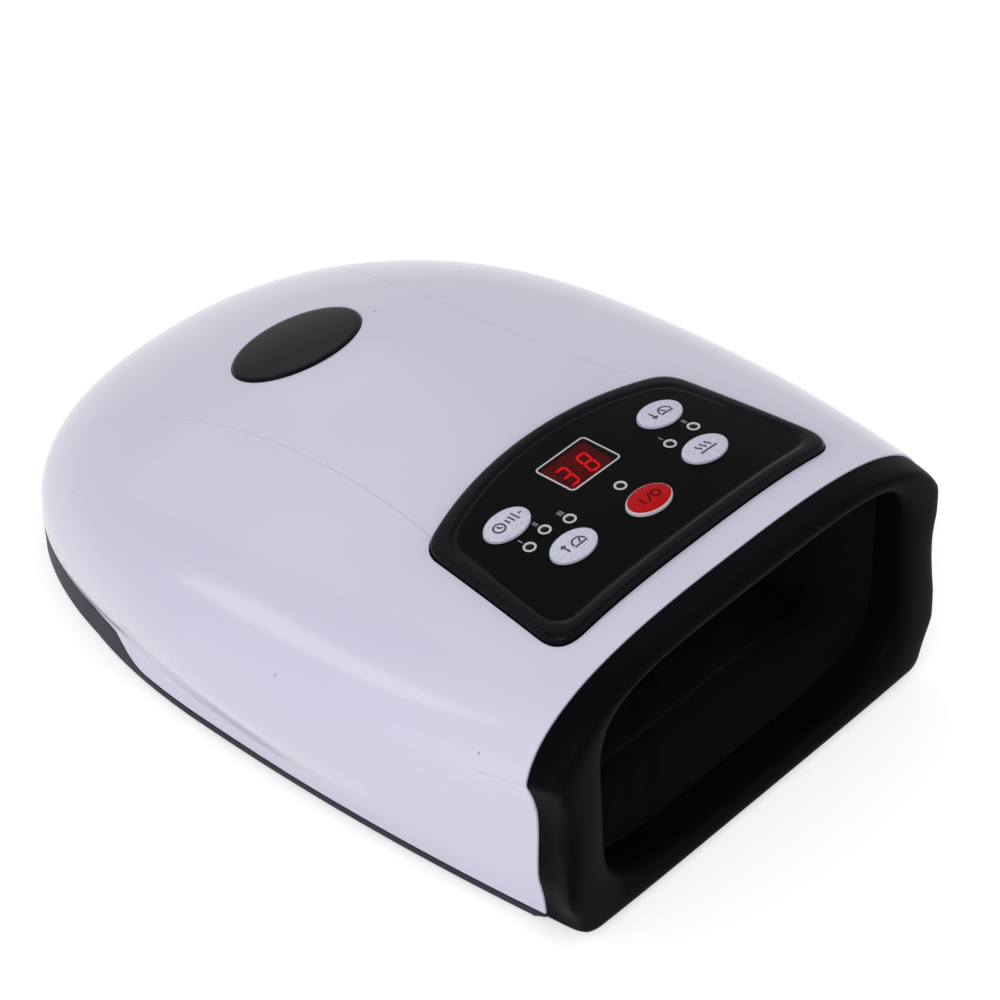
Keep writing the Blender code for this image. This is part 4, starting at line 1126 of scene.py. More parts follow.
def makeFascia():
    raised, border, recess = fascia["raise"], fascia["border"], fascia["recess"]
    edge = [(0.0, -fascia["under"]), (0.0, raised - 1.3 * mm), (-0.10 * mm, raised - 0.75 * mm)]
    edge += [(-0.42 * mm, raised - 0.28 * mm), (-0.95 * mm, raised - 0.04 * mm)]
    edge += [(-1.6 * mm, raised + 0.02 * mm), (-border + 1.5 * mm, raised + 0.02 * mm)]
    edge += [(-border + 1.0 * mm, raised - 0.06 * mm)]
    edge += [(-border + 0.5 * mm, raised - recess / 2), (-border, raised - recess + 0.05 * mm)]
    edge += [(-border - 0.6 * mm, raised - recess), (-border - 1.4 * mm, raised - recess)]
    rows = [onTop(fasciaOutline(grow), lift) for grow, lift in edge]
    centre = fascia["centre"]
    plan = fasciaOutline(edge[-1][0])
    for share in np.linspace(1, 0, 22)[1:]:
        rows.append(onTop(shrinkTo(plan, centre, max(share, 0.004)), filmLift))
    under, lower = fasciaOutline(0.0), []
    for share in np.linspace(0, 1, 12)[:-1]:
        lower.append(onTop(shrinkTo(under, centre, max(share, 0.004)), -fascia["under"]))
    mesh = makeMesh("fascia_panel", *loft(lower + rows))
    piece = makePiece("fascia_panel", mesh, ("fasciaBlack", "fasciaFilm"))
    half, breadth = keys["half"] + gap / 2, keys["breadth"] + gap / 2
    holes = [oval(place, half, breadth, 56) for place in keys["places"].values()]
    reach = lights["ring"] + 0.05 * mm
    holes += [oval(place, reach, reach, 32) for place in lights["places"].values()]
    for hole in holes + [displayOutline(0.08 * mm)]:
        cut(piece, loft([atHeight(hole, height) for height in fascia["holes"]]))
    smoothMesh(piece.data, 32)
    inner = fasciaOutline(-border - 0.3 * mm)
    half = inner[:, 0].max()
    for face in piece.data.polygons:
        side, depth = face.center[0], face.center[1] + casing["length"] / 2
        limit = fascia["frontDepth"] + border + 0.3 * mm
        if face.normal[2] > 0.3 and depth > limit and abs(side) < half and insidePlan(inner, side, depth):
            face.material_index = 1
    trueNormals(piece, filmLift)
    finishPiece(piece, nodes=("control_fascia",))


def insidePlan(outline, side, depth):
    x0, y0 = outline.T
    x1, y1 = np.roll(outline, -1, 0).T
    crossing = (y0 > depth) != (y1 > depth)
    with np.errstate(divide="ignore", invalid="ignore"):
        at = x0 + (depth - y0) / (y1 - y0) * (x1 - x0)
    return int((crossing & (side < at)).sum()) % 2 == 1


makeFascia()
print("fascia made")


# Keys, with small printed signs

def keyHeight(place, side, depth):  # the domed top of a key
    share = ((side - place[0]) / keys["half"]) ** 2 + ((depth - place[1]) / keys["breadth"]) ** 2
    base = topHeight(place[0], place[1]) + filmLift
    step = 0.3 * mm
    right = (topHeight(place[0] + step, place[1]) - topHeight(place[0] - step, place[1])) / (2 * step)
    back = (topHeight(place[0], place[1] + step) - topHeight(place[0], place[1] - step)) / (2 * step)
    lean = right * (side - place[0]) + back * (depth - place[1])
    return base + lean + keys["proud"] + keys["crown"] * (1 - np.clip(share, 0, 1)) ** 0.8


def keyRows(place):
    plan = oval(place, keys["half"], keys["breadth"], 64)
    rows = [atHeight(shrinkTo(plan, place, 0.02), keys["bottom"]), atHeight(plan, keys["bottom"])]
    rounding = ((0.0, 0.55 * mm), (-0.06 * mm, 0.26 * mm), (-0.20 * mm, 0.08 * mm), (-0.42 * mm, 0.01 * mm))
    for grow, drop in rounding:
        edge = oval(place, keys["half"] + grow, keys["breadth"] + grow, 64)
        rows.append(np.column_stack((edge, keyHeight(place, edge[:, 0], edge[:, 1]) - drop)))
    plan = edge
    for share in np.linspace(1, 0, 12)[1:]:
        inner = shrinkTo(plan, place, max(share, 0.01))
        rows.append(np.column_stack((inner, keyHeight(place, inner[:, 0], inner[:, 1]))))
    return rows


def strokes(lines, width, heightAt, lift=0.05 * mm, depth=0.08 * mm):  # printed lines on a surface
    parts = []
    for line in lines:
        line = np.asarray(line, float)
        length = lengthAlong(line)
        count = max(2, int(length[-1] / (0.22 * mm)) + 1)
        at = np.linspace(0, length[-1], count)
        path = np.column_stack((np.interp(at, length, line[:, 0]), np.interp(at, length, line[:, 1])))
        along = np.gradient(path, axis=0)
        along /= np.maximum(np.linalg.norm(along, axis=1), 1e-9)[:, None]
        aside = np.column_stack((-along[:, 1], along[:, 0])) * width / 2
        left, right = path - aside, path + aside
        rows = []
        for plan, drop in ((left, 0), (right, 0), (right, depth), (left, depth)):
            rows.append(np.column_stack((plan, heightAt(plan[:, 0], plan[:, 1]) + lift - drop)))
        parts.append(loft(np.transpose(np.array(rows), (1, 0, 2))))
    return join(parts)


def arc(centre, radius, start, end, count=24):
    turn = np.radians(np.linspace(start, end, count))
    return np.column_stack((centre[0] + radius * np.cos(turn), centre[1] + radius * np.sin(turn)))


def wave(start, length, swing):
    t = np.linspace(0, 1, 24)
    return np.array(start) + np.column_stack((swing * np.sin(2 * math.pi * t), length * t))


def gaugeSign(tipDown):  # an arrow beside a gauge
    hand = -1 if tipDown else 1
    arrow = [[(-2.6, -1.4), (-2.6, 1.4)], [(-3.3, 0.7 * hand), (-2.6, 1.4 * hand), (-1.9, 0.7 * hand)]]
    dial = [arc((1.2, -0.9), 1.9, 0, 180, 30), [(1.2, -0.9), (1.2 + 0.9 * hand, 0.3)]]
    return arrow + dial + [[(-0.8, -1.4), (3.2, -1.4)]]


def timerSign():  # a clock, then three rising steps
    clock = [arc((-2.6, 0), 1.5, 0, 360, 40), [(-2.6, 0.9), (-2.6, 0), (-1.9, -0.5)]]
    steps = [[(x, -tall), (x, tall)] for x, tall in ((0.2, 0.9), (1.5, 1.2), (2.8, 1.5))]
    return clock + steps + [[(3.9, 0), (4.9, 0)]]


keySigns = {  # in millimetres round each key's centre, read from the front
    "timer": timerSign(),
    "pressure": gaugeSign(False),
    "release": gaugeSign(True),
    "heat": [wave((x, -0.5), 2.0, 0.32) for x in (-1.8, -0.2, 1.4)] + [[(-2.9, -1.4), (2.7, -1.4)]],
    "power": [[(-2.3, -1.2), (-2.3, 1.2)], [(-0.9, -1.3), (0.7, 1.3)], arc((2.2, 0), 1.15, 0, 360, 36)],
}


def makeKeys():
    for name, place in keys["places"].items():
        red = name == "power"
        material = ("paleRing", "keyRed") if red else "keySilver"
        piece = makePiece(name + "_cap", makeMesh(name + "_cap", *loft(keyRows(place))), material, 50)
        if red:  # the rim stays pale
            for face in piece.data.polygons:
                x, y = face.center[0] - place[0], face.center[1] + casing["length"] / 2 - place[1]
                inside = (x / (keys["half"] - 0.5 * mm)) ** 2 + (y / (keys["breadth"] - 0.5 * mm)) ** 2 < 1
                face.material_index = int(inside and face.normal[2] > 0.5)
        finishPiece(piece, name + "_key", (name + "_key",))
        lines = [np.array(line) * keys["signScale"] * mm + place for line in keySigns[name]]
        drawn = strokes(lines, keys["signWidth"], lambda x, y: keyHeight(place, x, y))
        mesh = makeMesh(name + "_sign", *drawn)
        ink = "powerPrint" if red else "keyPrint"
        finishPiece(makePiece(name + "_sign", mesh, ink), name + "_key")


makeKeys()
print("keys made")


def filmHeight(side, depth):
    return topHeight(side, depth) + filmLift


# Light rings and lenses, one node tree that sets a turned shape on each point

def nodeTree(name, sockets):
    tree = bpy.data.node_groups.new(name, "GeometryNodeTree")
    tree.interface.new_socket("Geometry", in_out="INPUT", socket_type="NodeSocketGeometry")
    for label, kind, value in sockets:
        made = tree.interface.new_socket(label, in_out="INPUT", socket_type=kind)
        if value is not None:
            made.default_value = value
    tree.interface.new_socket("Geometry", in_out="OUTPUT", socket_type="NodeSocketGeometry")
    return tree


def addTo(tree, kind, settings=None, sockets=None):
    made = tree.nodes.new(kind)
    for key, value in (settings or {}).items():
        setattr(made, key, value)
    for key, value in (sockets or {}).items():
        if isinstance(value, bpy.types.NodeSocket):
            tree.links.new(value, made.inputs[key])
        else:
            made.inputs[key].default_value = value
    return made


def closeTree(tree, geometry, material):
    real = addTo(tree, "GeometryNodeRealizeInstances", sockets={"Geometry": geometry})
    sockets = {"Geometry": real.outputs[0], "Material": material}
    dressed = addTo(tree, "GeometryNodeSetMaterial", sockets=sockets)
    output = addTo(tree, "NodeGroupOutput")
    tree.links.new(dressed.outputs[0], output.inputs[0])


def shapeOnPoints():  # a turned shape on every point, stood on the point's own normal
    tree = nodeTree("shapeOnPoints", [
        ("Shape", "NodeSocketObject", None), ("Scale", "NodeSocketFloat", 1.0),
        ("Material", "NodeSocketMaterial", None)])
    given = addTo(tree, "NodeGroupInput")
    shape = addTo(tree, "GeometryNodeObjectInfo", sockets={"Object": given.outputs["Shape"]})
    normal = addTo(tree, "GeometryNodeInputNamedAttribute", {"data_type": "FLOAT_VECTOR"}, {"Name": "stand"})
    upright = {"Vector": normal.outputs["Attribute"]}
    turn = addTo(tree, "FunctionNodeAlignRotationToVector", {"axis": "Z"}, upright)
    placed = addTo(tree, "GeometryNodeInstanceOnPoints", sockets={
        "Points": given.outputs["Geometry"], "Instance": shape.outputs["Geometry"],
        "Rotation": turn.outputs[0], "Scale": given.outputs["Scale"]})
    closeTree(tree, placed.outputs[0], given.outputs["Material"])
    return tree


def runTree(name, tree, mesh, inputs):
    holder = newObject(name, mesh)
    step = holder.modifiers.new("nodes", "NODES")
    step.node_group = tree
    for item in tree.interface.items_tree:
        if item.item_type == "SOCKET" and item.in_out == "INPUT" and item.name in inputs:
            step[item.identifier] = inputs[item.name]
    made = evaluatedMesh(holder)
    holder.modifiers.remove(step)
    swapMesh(holder, made)
    made.name = name
    smoothMesh(made, 38)
    return holder


def spun(profile, count=40, along=False):  # (radius, height) points turned round Z, a ring if along
    turn = np.linspace(0, 2 * math.pi, count, endpoint=False)
    across, aside = np.cos(turn), np.sin(turn)
    rows = [np.column_stack((r * across, r * aside, np.full(count, z))) for r, z in profile]
    return loft(rows, along)


def setOnPoints(name, places, normals, shapes, material):
    mesh = bpy.data.meshes.new(name)
    mesh.from_pydata(toFrame(places).tolist(), [], [])
    stand = mesh.attributes.new("stand", "FLOAT_VECTOR", "POINT")
    stand.data.foreach_set("vector", np.asarray(normals, np.float32).ravel())
    points, faces = shapes
    points = np.array(points)
    points[:, 1] += casing["length"] / 2  # the shape itself stands at the origin
    shape = newObject(name + "Shape", makeMesh(name + "Shape", points, faces))
    piece = runTree(name, onPointsTree, mesh, {"Shape": shape, "Scale": 1.0, "Material": finish[material]})
    discard(shape)
    return piece


onPointsTree = shapeOnPoints()


def makeLights():
    names = list(lights["places"])
    plan = np.array(list(lights["places"].values()))
    places = np.column_stack((plan, filmHeight(plan[:, 0], plan[:, 1])))
    normals = casingNormals(onTop(plan, 0.0))
    ring, lens = lights["ring"], lights["lens"]
    collar = [(lens, -3.0 * mm), (ring, -3.0 * mm), (ring, 0.05 * mm), (ring - 0.10 * mm, 0.16 * mm)]
    collar += [(ring - 0.28 * mm, 0.19 * mm), (lens + 0.14 * mm, 0.17 * mm), (lens, 0.05 * mm)]
    piece = setOnPoints("light_rings", places, normals, spun(collar, along=True), "paleRing")
    finishPiece(piece, nodes=names)
    dome = [(0.05 * mm, -6 * mm), (lens - 0.02 * mm, -6 * mm), (lens - 0.02 * mm, -0.16 * mm)]
    dome += [(lens * 0.8, -0.05 * mm), (lens * 0.45, 0.02 * mm), (0.03 * mm, 0.04 * mm)]
    piece = setOnPoints("light_lenses", places, normals, spun(dome, 28), "lightLens")
    finishPiece(piece)
    marks = []
    for name, bars in lights["bars"].items():
        x, y = lights["places"][name]
        for i in range(bars):
            aside = x + (i - (bars - 1) / 2) * lights["barPitch"]
            marks.append([(aside, y + lights["barFrom"]), (aside, y + lights["barTo"])])
    mesh = makeMesh("light_marks", *strokes(marks, lights["barWidth"], filmHeight, 0.03 * mm))
    finishPiece(makePiece("light_marks", mesh, "fasciaPrint"))


makeLights()


# Display: red window, pale line and two digits below it

digitPlan = {
    "height": 7.6 * mm,
    "width": 4.0 * mm,
    "bar": 0.72 * mm,
    "pitch": 8.1 * mm,
    "lean": 0.13,
    "level": 0.0820,
    "inset": 0.06 * mm,
    "shown": ((-1, "abgcd"), (1, "abcdefg")),
}


def barShape(start, end, width):  # a segment with pointed ends
    start, end = np.array(start, float), np.array(end, float)
    along = (end - start) / np.linalg.norm(end - start)
    aside = np.array((-along[1], along[0])) * width / 2
    tip = along * width / 2
    return [start, start + tip + aside, end - tip + aside, end, end - tip - aside, start + tip - aside]


def makeDigits():
    w, h = digitPlan["width"] - digitPlan["bar"], digitPlan["height"] - digitPlan["bar"]
    level = digitPlan["level"]
    segments = {"a": ((0, h), (w, h)), "b": ((w, h), (w, h / 2)), "c": ((w, h / 2), (w, 0))}
    segments |= {"d": ((0, 0), (w, 0)), "e": ((0, h / 2), (0, 0)), "f": ((0, h), (0, h / 2))}
    segments["g"] = ((0, h / 2), (w, h / 2))
    lit, dark = [], []
    for place, shown in digitPlan["shown"]:
        for name, (start, end) in segments.items():
            ends = np.array((start, end), float)
            ends += (ends[::-1] - ends) / np.linalg.norm(ends[1] - ends[0]) * digitPlan["inset"]
            shape = np.array(barShape(*ends, digitPlan["bar"])) - (w / 2, h / 2)
            shape[:, 0] += place * digitPlan["pitch"] / 2 + shape[:, 1] * digitPlan["lean"]
            shape += (0.0, display["depth"])
            rows = [atHeight(shape, level - 0.3 * mm), atHeight(shape, level + 0.06 * mm)]
            (lit if name in shown else dark).append(loft(rows))
    for name, parts, material in (("digits_lit", lit, "digitLit"), ("digits_unlit", dark, "digitUnlit")):
        finishPiece(makePiece(name, makeMesh(name, *join(parts)), material))


def makeDisplay():
    centre = (0.0, display["depth"])
    top = filmLift + 0.02 * mm
    under = top - display["thickness"]
    plan = displayOutline(0.0)
    rows = [onTop(shrinkTo(plan, centre, share), under) for share in (0.02, 0.5)]
    for grow, lift in ((0.0, under), (0.0, top - 0.12 * mm), (-0.10 * mm, top)):
        rows.append(onTop(displayOutline(grow), lift))
    plan = rows[-1][:, :2]
    rows += [onTop(shrinkTo(plan, centre, share), top) for share in (0.75, 0.5, 0.25, 0.02)]
    piece = makePiece("display_lens", makeMesh("display_lens", *loft(rows)), "displayGlass")
    finishPiece(piece, nodes=("display_window",))
    line = ((-0.48, -0.02), (0.0, -0.10), (0.02, 0.05), (-0.06, 0.10), (-0.44, 0.10), (-0.48, 0.06))
    ring = [onTop(displayOutline(out * mm), top + up * mm) for out, up in line]
    piece = makePiece("display_frame", makeMesh("display_frame", *loft(ring, along=True)), "paleRing")
    finishPiece(piece)
    low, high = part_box("display_module")
    half, breadth = (high[0] - low[0]) / 2, (high[1] - low[1]) / 2
    plan = roundedBox(centre, half, breadth, 0.6 * mm, 4)
    level = digitPlan["level"]
    rows = [atHeight(plan, low[2]), atHeight(plan, level - 0.3 * mm)]
    rows.append(atHeight(roundedBox(centre, half - 0.2 * mm, breadth - 0.2 * mm, 0.6 * mm, 4), level))
    piece = makePiece("display_block", makeMesh("display_block", *loft(rows)), "moduleFace")
    finishPiece(piece, nodes=("display_module",))
    makeDigits()


makeDisplay()
print("display made")


# Mouth bezel

mouth = {
    "halfWidth": 0.061,
    "bottom": 0.009,
    "top": 0.0820,
    "power": 5.0,
    "inset": 0.4 * mm,
    "low": 0.0018,
    "lean": 0.004,
    "corner": 0.0032,
    "leanFrom": 0.45,
    "profile": (  # depth, and how far in from the casing's outline to the mouth's
        (0.0137, 0.0), (0.0042, 0.0), (0.0010, 0.08), (0.0, 0.40), (0.0008, 0.86), (0.004, 1.0),
        (0.0137, 1.0)),
    "flare": (  # height, and how far the front edge stands out
        (0.002, 0.0), (0.010, 0.0026), (0.0195, 0.0064), (0.028, 0.0042), (0.045, 0.0034), (0.058, 0.0026),
        (0.072, 0.0)),
    "flareSide": (0.055, 0.012),
    "flareFade": 1.3,
}
mouth["centre"] = (mouth["bottom"] + mouth["top"]) / 2
clampRing = {"front": 0.0143, "rear": 0.0167, "spare": 1.3 * mm}


def bendCorners(line, times):  # corner cutting keeps the ends and rounds the rest
    line = np.array(line, float)
    for _ in range(times):
        first, second = line[:-1], line[1:]
        inner = np.stack((0.75 * first + 0.25 * second, 0.25 * first + 0.75 * second), 1)
        inner = inner.reshape(-1, line.shape[1])
        line = np.concatenate((line[:1], inner[1:-1], line[-1:]))
    return line


def sectionLoop(depth, inset):  # the casing's outline across a depth, closed along the bottom
    low = mouth["low"]
    points = rib((depth, None), inset, 0.0, False)[:, (0, 2)]
    points = points[points[:, 1] > low + 0.4 * mm]
    side = float(halfWidth(depth) - inset - tuckIn(depth, low))
    right = [(side, low)] + [tuple(point) for point in points[::-1]]
    right = np.array(roundStart(right, mouth["corner"]))
    left = right[::-1][1:] * (-1, 1)
    floor = np.column_stack((np.linspace(left[-1][0], right[0][0], 30)[1:-1], np.full(28, low)))
    return np.concatenate((right, left, floor))


def roundStart(points, radius):  # the corner between the floor and the first point becomes a bend
    here = np.array(points[0])
    rest = [np.array(point) for point in points[1:]]
    while np.linalg.norm(rest[0] - here) < radius:
        rest.pop(0)
    up = rest[0] - here
    up = up / np.linalg.norm(up) * radius
    inward = np.array((-radius, 0.0))
    bend = [here + inward * (1 - t) ** 2 + up * t**2 for t in np.linspace(0, 1, 9)]
    return [tuple(point) for point in bend + rest]


def reachOf(x, z, half, tall, power):  # 1 on the edge of a rounded opening
    return ((np.abs(x) / half) ** power + (np.abs(z) / tall) ** power) ** (1 / power)


def mouthLoop(outer, grow):
    centre = mouth["centre"]
    x, z = outer[:, 0], outer[:, 1] - centre
    rise = np.where(z >= 0, mouth["top"] - centre, centre - mouth["bottom"]) + grow
    reach = reachOf(x, z, mouth["halfWidth"] + grow, rise, mouth["power"])
    return np.column_stack((x / reach, centre + z / reach))


def bezelFlare(outer):  # the front edge stands out at both sides, most of all low down
    heights, amounts = np.array(mouth["flare"]).T
    amount = np.interp(outer[:, 1], heights, amounts)
    side = np.abs(outer[:, 0])
    amount = np.minimum(amount, np.maximum(halfWidth(0.0) - 0.5 * mm - side, 0))
    start, run = mouth["flareSide"]
    near = np.clip((side - start) / run, 0, 1)
    return np.column_stack((np.sign(outer[:, 0]) * amount * easeIn(near), 0 * amount))


def makeBezel():
    back = mouth["profile"][0][0]
    leanStart = mouth["low"] + (mouth["bottom"] - mouth["low"]) * mouth["leanFrom"]
    rows = []
    for depth, share in bendCorners(mouth["profile"], 3):
        outer = sectionLoop(depth, mouth["inset"])
        wide = outer + bezelFlare(outer) * (1 - depth / back) ** mouth["flareFade"]
        loop = wide + (mouthLoop(outer, 0.0) - wide) * share
        lean = mouth["lean"] * np.maximum(loop[:, 1] - leanStart, 0) / casing["crown"] * (1 - depth / back)
        rows.append(np.column_stack((loop[:, 0], depth + lean, loop[:, 1])))
    piece = makePiece("bezel_frame", makeMesh("bezel_frame", *loft(rows, along=True)), "bezelBlack", 40)
    finishPiece(piece, nodes=("mouth_bezel",))


def makeClampRing():
    front, rear = clampRing["front"], clampRing["rear"]
    outer = sectionLoop(front, casing["wall"] + gap)
    inner = mouthLoop(outer, clampRing["spare"])
    section = ((front, 0.5), (front, 0.0), (rear, 0.0), (rear, 1.0), (front, 1.0), (front, 0.5))
    rows = []
    for depth, share in bendCorners(section, 1):
        loop = outer + (inner - outer) * share
        rows.append(np.column_stack((loop[:, 0], np.full(len(loop), depth), loop[:, 1])))
    mesh = makeMesh("throat_clamp", *loft(rows[:-1], along=True))
    finishPiece(makePiece("throat_clamp", mesh, "innerPlastic", 40), nodes=("clamp_ring",))


makeBezel()
makeClampRing()
print("bezel made")


# Cloth throat in two flaps, an upper and a lower one

throat = {
    "wall": 0.9 * mm,
    "front": 0.0140,
    "back": 0.0325,
    "half": 0.0555,
    "power": 6.0,
    "rows": 18,
    "count": 320,
    "fold": 0.35 * mm,
    "seamHeight": 0.0349,
    "weaveRun": 0.024,
    "flat": {"press_unit": 0.027, "palm_unit": 0.019},  # how far each flap runs when flat
}
handSpace = {
    "front": 0.034,
    "back": 0.160,
    "trayFront": 0.0665,
    "trayBack": 0.0540,
    "pressDrop": 0.0119,
    "palmTop": 0.0152,
}


def trayHeight(depth):
    share = (depth - handSpace["front"]) / (handSpace["back"] - handSpace["front"])
    return handSpace["trayFront"] + (handSpace["trayBack"] - handSpace["trayFront"]) * share


def pressBottom(depth):
    return trayHeight(depth) - handSpace["pressDrop"]


def evenTurns(count, start, end):  # directions spread evenly along the mouth's rim
    turn = np.linspace(0, 2 * math.pi, 4001)
    far = np.column_stack((np.cos(turn), np.sin(turn))) + (0.0, mouth["centre"])
    length = lengthAlong(mouthLoop(far, 0.0))
    inside = (turn >= start) & (turn <= end)
    even = np.linspace(length[inside][0], length[inside][-1], count)
    return np.interp(even, length, turn), even


def throatFlap(name, start, slope):
    turns, along = evenTurns(throat["count"] // 2 + 1, start, start + math.pi)
    across, upward = np.cos(turns), np.sin(turns)
    far = np.column_stack((across, upward)) + (0.0, mouth["centre"])
    bottom, top = handSpace["palmTop"], float(pressBottom(handSpace["front"]))
    middle, tall = (bottom + top) / 2, (top - bottom) / 2
    folds = np.sin(along * 210) + 0.6 * np.sin(along * 467 + 1.3)
    layers, weaves = [], []
    for grow in (throat["wall"], 0.0):
        layer, where = [], []
        wide = mouthLoop(far, grow)
        reach = reachOf(across, upward, throat["half"] + grow, tall + grow, throat["power"])
        narrow = np.column_stack((across / reach, middle + upward / reach))
        for t in np.linspace(0, 1, throat["rows"]):
            loop = wide + (narrow - wide) * easeIn(t)
            ripple = throat["fold"] * math.sin(math.pi * t) * folds
            inward = loop - (0.0, middle)
            inward /= np.linalg.norm(inward, axis=1)[:, None]
            loop = loop - inward * ripple[:, None]
            depth = throat["front"] + (throat["back"] - throat["front"]) * t
            layer.append(np.column_stack((loop[:, 0], np.full(len(loop), depth), loop[:, 1])))
            where.append(np.column_stack((along, np.full(len(loop), throat["weaveRun"] * t))))
        layers.append(layer)
        weaves.append(where)
    piece = clothStrip(name, layers, weaves)
    deep, rise, level = slope  # a slope in the plane of depth and height
    size = deep**2 + rise**2
    at = -level / size
    begin = (0.0, deep * at - casing["length"] / 2, rise * at)
    begin[1] + deep / size
    begin[2] + rise / size
    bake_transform(piece)
    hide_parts("throat_liner")


def makeThroat():
    top, bottom, middle = float(pressBottom(handSpace["front"])), handSpace["palmTop"], throat["seamHeight"]
    front, back = throat["front"], throat["back"]
    for name, body, cover, rear, rim, start in (
            ("throat_upper", "press_unit", "press_cover", top, mouth["top"], 0.0),
            ("throat_lower", "palm_unit", "palm_cover", bottom, mouth["bottom"], math.pi)):
        rise = 1 / (rear - middle)  # 1 at the flap's rear edge, 0 at the rim and at the side seams
        deep = rise * (rim - middle) / (back - front)
        throatFlap(name, start, (deep, rise, -(deep * back + rise * middle)))


makeThroat()
print("throat made")


# Hand sleeve

sleeve = {
    "half": 0.0555,
    "wall": 1.3 * mm,
    "corner": 0.0012,
    "low": 0.0140,
    "levels": 14,
    "ripple": 0.22 * mm,
    "clear": 0.1 * mm,
    "flatHeight": 0.036,
}


def makeSleeve():
    half, corner, low = sleeve["half"], sleeve["corner"], sleeve["low"]
    back = handSpace["back"] + gap
    depths = np.linspace(handSpace["front"], back - corner, 40)
    path = [np.column_stack((np.full(40, -half), depths))]
    path.append(arc((-half + corner, back - corner), corner, 180, 90, 12)[1:])
    path.append(np.column_stack((np.linspace(-half + corner, half - corner, 36)[1:], np.full(35, back))))
    path.append(arc((half - corner, back - corner), corner, 90, 0, 12)[1:])
    path.append(np.column_stack((np.full(39, half), depths[::-1][1:])))
    path = np.concatenate(path)
    length = lengthAlong(path)
    along = np.gradient(path, axis=0)
    along /= np.linalg.norm(along, axis=1)[:, None]
    outward = np.column_stack((-along[:, 1], along[:, 0]))
    top = pressBottom(np.minimum(path[:, 1], handSpace["back"])) - gap
    folds = np.sin(length * 260 + 2.1 * np.sin(length * 37))
    layers, weaves = [], []
    for thick in (0.0, sleeve["wall"]):
        layer, where = [], []
        for t in np.linspace(0, 1, sleeve["levels"]):
            height = low + (top - low) * t
            ripple = sleeve["ripple"] * math.sin(math.pi * t) * folds
            plan = path + outward * (thick + ripple + sleeve["clear"])[:, None]
            layer.append(np.column_stack((plan, height)))
            where.append(np.column_stack((length, height - low)))
        layers.append(layer)
        weaves.append(where)
    piece = clothStrip("sleeve_cloth", layers, weaves)
    finishPiece(piece, nodes=("hand_sleeve",))


makeSleeve()


# Padded covers: a grid sewn along its edge and channels, swollen by Blender's Cloth

pads = {
    "half": 0.0547,
    "front": 0.0348,
    "back": 0.1592,
    "cell": 1.9 * mm,
    "pressure": 8.0,
    "spare": 0.02,  # share by which the cloth is cut larger than its frame
    "frames": 20,
    "pressThick": 2.4 * mm,
    "pressWeld": 0.9 * mm,
    "pressSwell": 3.2 * mm,
    "channels": (-0.0275, 0.0, 0.0275),
    "palmDrop": 1.6 * mm,
    "palmThick": 1.3 * mm,
    "palmSwell": 2.4 * mm,
    "tufts": 4,
}


def padGrid(name, topAt, bottomAt, sewnAt, swellUp):
    width, length = 2 * pads["half"], pads["back"] - pads["front"]
    columns, rows = round(width / pads["cell"]) + 1, round(length / pads["cell"]) + 1
    sides = np.linspace(-pads["half"], pads["half"], columns)
    depths = np.linspace(pads["front"], pads["back"], rows)
    side, depth = (grid.ravel() for grid in np.meshgrid(sides, depths))
    top = np.column_stack((side, depth, topAt(depth)))
    bottom = np.column_stack((side, depth, bottomAt(depth)))
    points = np.concatenate((top, bottom))
    weave = np.tile(np.column_stack((side, depth)), (2, 1))
    piece = makePiece(name, makeMesh(name, points, pocketFaces(rows, columns), weave), "blackKnit", 60)
    rest = np.array([vert.co for vert in piece.data.vertices])
    flat = rest + (0, casing["length"] / 2, 0)
    ends = np.minimum(flat[:, 1] - pads["front"], pads["back"] - flat[:, 1])
    edge = np.minimum(pads["half"] - np.abs(flat[:, 0]), ends)
    middle = (topAt(flat[:, 1]) + bottomAt(flat[:, 1])) / 2
    still = flat[:, 2] < middle if swellUp else flat[:, 2] > middle
    held = still | (edge < 0.6 * pads["cell"]) | sewnAt(flat[:, 0], flat[:, 1])
    return piece, rest, held


def swell(piece, rest, held, most):
    group = piece.vertex_groups.new(name="sewn")
    group.add([int(i) for i in np.flatnonzero(held)], 1.0, "REPLACE")
    cloth = piece.modifiers.new("cloth", "CLOTH")
    settings = cloth.settings
    settings.quality, settings.mass = 5, 0.05
    settings.shrink_min = -pads["spare"]
    settings.tension_stiffness = settings.compression_stiffness = 8
    settings.shear_stiffness, settings.bending_stiffness = 5, 0.3
    settings.use_pressure, settings.uniform_pressure_force = True, pads["pressure"]
    settings.vertex_group_mass = "sewn"
    settings.effector_weights.gravity = 0
    cloth.collision_settings.use_collision = False
    scene = bpy.context.scene
    for number in range(1, pads["frames"] + 1):
        scene.frame_set(number)
    mesh = evaluatedMesh(piece)
    moved = np.array([vert.co for vert in mesh.vertices])
    scene.frame_set(1)
    piece.modifiers.remove(cloth)
    shift = moved - rest
    size = np.linalg.norm(shift, axis=1)
    capped = np.minimum(size, most * np.tanh(size / most))
    moved = rest + shift * (capped / np.maximum(size, 1e-9))[:, None]
    piece.data.vertices.foreach_set("co", moved.ravel())
    piece.data.update()
    swelled, kept = (round(float(value.max()) / mm, 2) for value in (size, capped))
    print(piece.name, "swelled by", swelled, "mm, kept", kept)


def subdivide(piece):
    step = piece.modifiers.new("smooth", "SUBSURF")
    step.levels = step.render_levels = 1
    mesh = evaluatedMesh(piece)
    piece.modifiers.remove(step)
    swapMesh(piece, mesh)
    smoothMesh(mesh, 60)


def makePad(name, topAt, bottomAt, sewnAt, most, up):
    piece, rest, held = padGrid(name, topAt, bottomAt, sewnAt, up)
    swell(piece, rest, held, most)
    subdivide(piece)
    return piece


def sewnChannel(side, depth):
    return np.min([np.abs(side - place) for place in pads["channels"]], axis=0) < 0.55 * pads["cell"]


